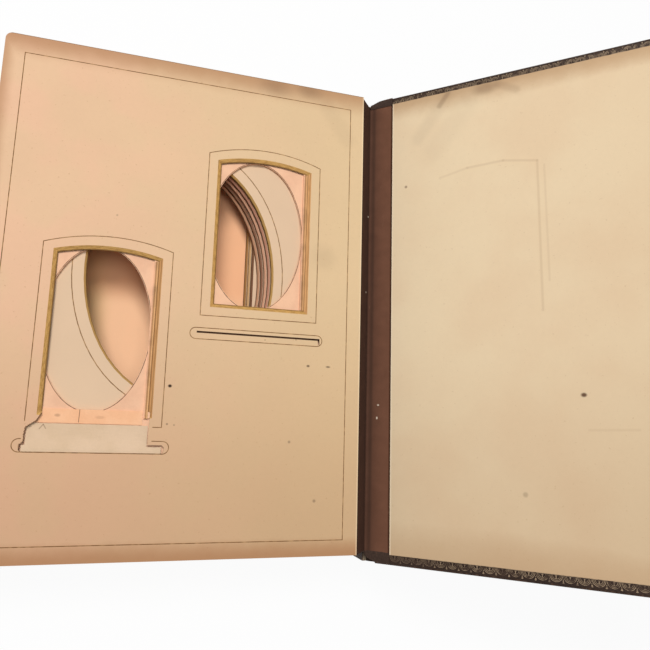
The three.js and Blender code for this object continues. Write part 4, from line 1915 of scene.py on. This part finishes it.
@dataclass
class CadFinishes:
    """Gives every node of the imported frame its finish."""

    page: Page
    back: CoverPlane
    front: CoverPlane

    def page_marks(self) -> Sequence[Mark]:
        """Spots and stains of the open page.

        Returns:
            The marks, each by its place and strength.
        """
        return (
            Spot(94.5, 179.4, 0.75, 1.0, 1.2),
            Spot(167.3, 165.2, 0.6, 0.75, 1.4),
            Spot(178.7, 165.1, 0.45, 0.7, 2.6),
            Spot(158.1, 206.3, 0.7, 0.4),
            Spot(172.8, 236.8, 0.8, 0.4),
            Spot(94.3, 198.7, 0.5, 0.5),
            Spot(97.8, 199.1, 0.45, 0.35),
            Spot(62.0, 92.0, 0.5, 0.3),
            Spot(142.8, 152.4, 0.35, 0.45),
            Spot(160.0, 151.2, 0.35, 0.45),
            Spot(174.7, 103.1, 6.0, 0.10, 1.0, 0.9),
            Spot(143.0, 4.0, 5.0, 0.22, 1.6, 0.8),
            Spot(163.0, 2.5, 4.0, 0.25, 1.6, 0.8),
            Streak((172.0, 7.0), (187.0, 29.0), 8.0, 0.06),
        )

    def lining_marks(self) -> Sequence[Mark]:
        """Spots and smudges of the raised cover's lining.

        Returns:
            The marks, each by its place and strength.
        """
        return (
            Spot(116.2, 179.4, 1.0, 0.95, 1.3),
            Spot(23.3, 56.1, 0.8, 0.6),
            Spot(71.0, 4.0, 3.2, 0.34, 2.0, 0.7),
            Streak((78.0, 3.0), (88.0, 9.0), 3.5, 0.16),
            Streak((48.6, 3.0), (31.0, 27.0), 6.5, 0.09),
            Streak((49.0, 2.0), (44.0, 9.0), 2.4, 0.28),
            Streak((60.0, 12.0), (40.0, 36.0), 11.0, 0.05),
            Spot(87.0, 229.0, 1.2, 0.3),
        )

    def ghosts(self) -> Sequence[Mark]:
        """The faint print of a window on the lining.

        Returns:
            The marks, each by its place and strength.
        """
        return (
            Streak((44.0, 54.0), (60.0, 50.6), 1.1, 0.22),
            Streak((60.0, 50.6), (80.0, 49.8), 1.1, 0.3),
            Streak((80.0, 49.8), (98.0, 53.0), 1.1, 0.3),
            Streak((98.0, 53.0), (98.4, 135.5), 1.0, 0.32),
            Streak((101.5, 56.0), (102.2, 120.0), 0.9, 0.22),
            Streak((118.0, 196.5), (140.0, 196.0), 1.0, 0.22),
        )

    def strip_marks(self) -> Sequence[Mark]:
        """The crack and the scuffs on the torn pocket.

        Returns:
            The marks, each by its place and strength.
        """
        return (
            Streak((52.4, 190.0), (52.2, 199.0), 0.28, 0.8),
            Spot(42.3, 195.9, 0.7, 0.35, 1.8),
            Streak((34.8, 202.6), (36.4, 200.4), 0.4, 0.45),
            Streak((36.4, 200.4), (37.6, 202.4), 0.4, 0.45),
            Spot(62.0, 196.4, 0.7, 0.18, 3.0),
        )

    def finishes(self) -> Dict[str, Finish]:
        """Finish of each node by name.

        Returns:
            The finishes.
        """
        page = self.page
        leaf = PagePaper("page_facing", page, marks=self.page_marks())
        # Painted shadow under the upper slit, on the pink card and on the tongue.
        slit_shadow = (Streak((105.5, 150.4), (173.5, 150.4), 2.2, 0.97),)
        pink = PlainCard("raw_pink_card", page, (0.87, 0.53, 0.34), (0.80, 0.47, 0.30), marks=slit_shadow)
        strip = PlainCard(
            "pocket_strip", page, (0.92, 0.53, 0.31), (0.88, 0.48, 0.27), marks=self.strip_marks()
        )
        tongue = PlainCard(
            "pocket_tongue", page, (0.73, 0.53, 0.36), (0.68, 0.49, 0.32), marks=self.strip_marks() + slit_shadow
        )
        board = Board("millboard")
        back = Leather("cover_leather_back", self.back)
        front = Leather("cover_leather_front", self.front)
        lining = EndPaper(
            "end_paper_back", self.back, page, marks=self.lining_marks(), ghosts=self.ghosts()
        )
        return {
            "closed_leaves": LeafCard("leaf_stack", page),
            "open_leaf_face": leaf,
            "open_leaf_frame": pink,
            "open_leaf_under": pink,
            "upper_pocket_strip": pink,
            "lower_pocket_strip": strip,
            "upper_pocket_tongue": tongue,
            "lower_pocket_tongue": tongue,
            "guards": Guards("leaf_guards", page),
            "spine_lining": Guards("leaf_guards", page),
            "spine_card": board,
            "spine_leather": Leather("spine_leather", self.back),
            "back_joint_leather": back,
            "front_joint_leather": front,
            "back_hinge_cloth": board,
            "front_hinge_cloth": board,
            "back_cover_board": board,
            "back_cover_leather": back,
            "back_cover_lining": lining,
            "front_cover_board": board,
            "front_cover_leather": front,
            "front_cover_lining": EndPaper("end_paper_front", self.front, page),
        }

    def build(self) -> None:
        """Assigns the finishes to the nodes' slots."""
        for name, finish in self.finishes().items():
            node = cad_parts[name]
            node.data.materials.clear()
            node.data.materials.append(finish.material())
            log.info("%s: finish %s", name, finish.name)


def main() -> None:
    """Builds the album's looks in order."""
    logging.basicConfig(level=logging.INFO, format="%(message)s")
    page = Page.of_frame()
    covers = Covers()
    back, front = covers.back(), covers.front()
    Studio().build()
    CadFinishes(page, back, front).build()
    PageDetails(page).build()
    HingeStrips(page, back, front).build()
    TooledRoll(back, Body.BACK, "back_cover_roll").build()
    TooledRoll(front, Body.FRONT, "front_cover_roll").build()


if __name__ == "__main__":
    main()
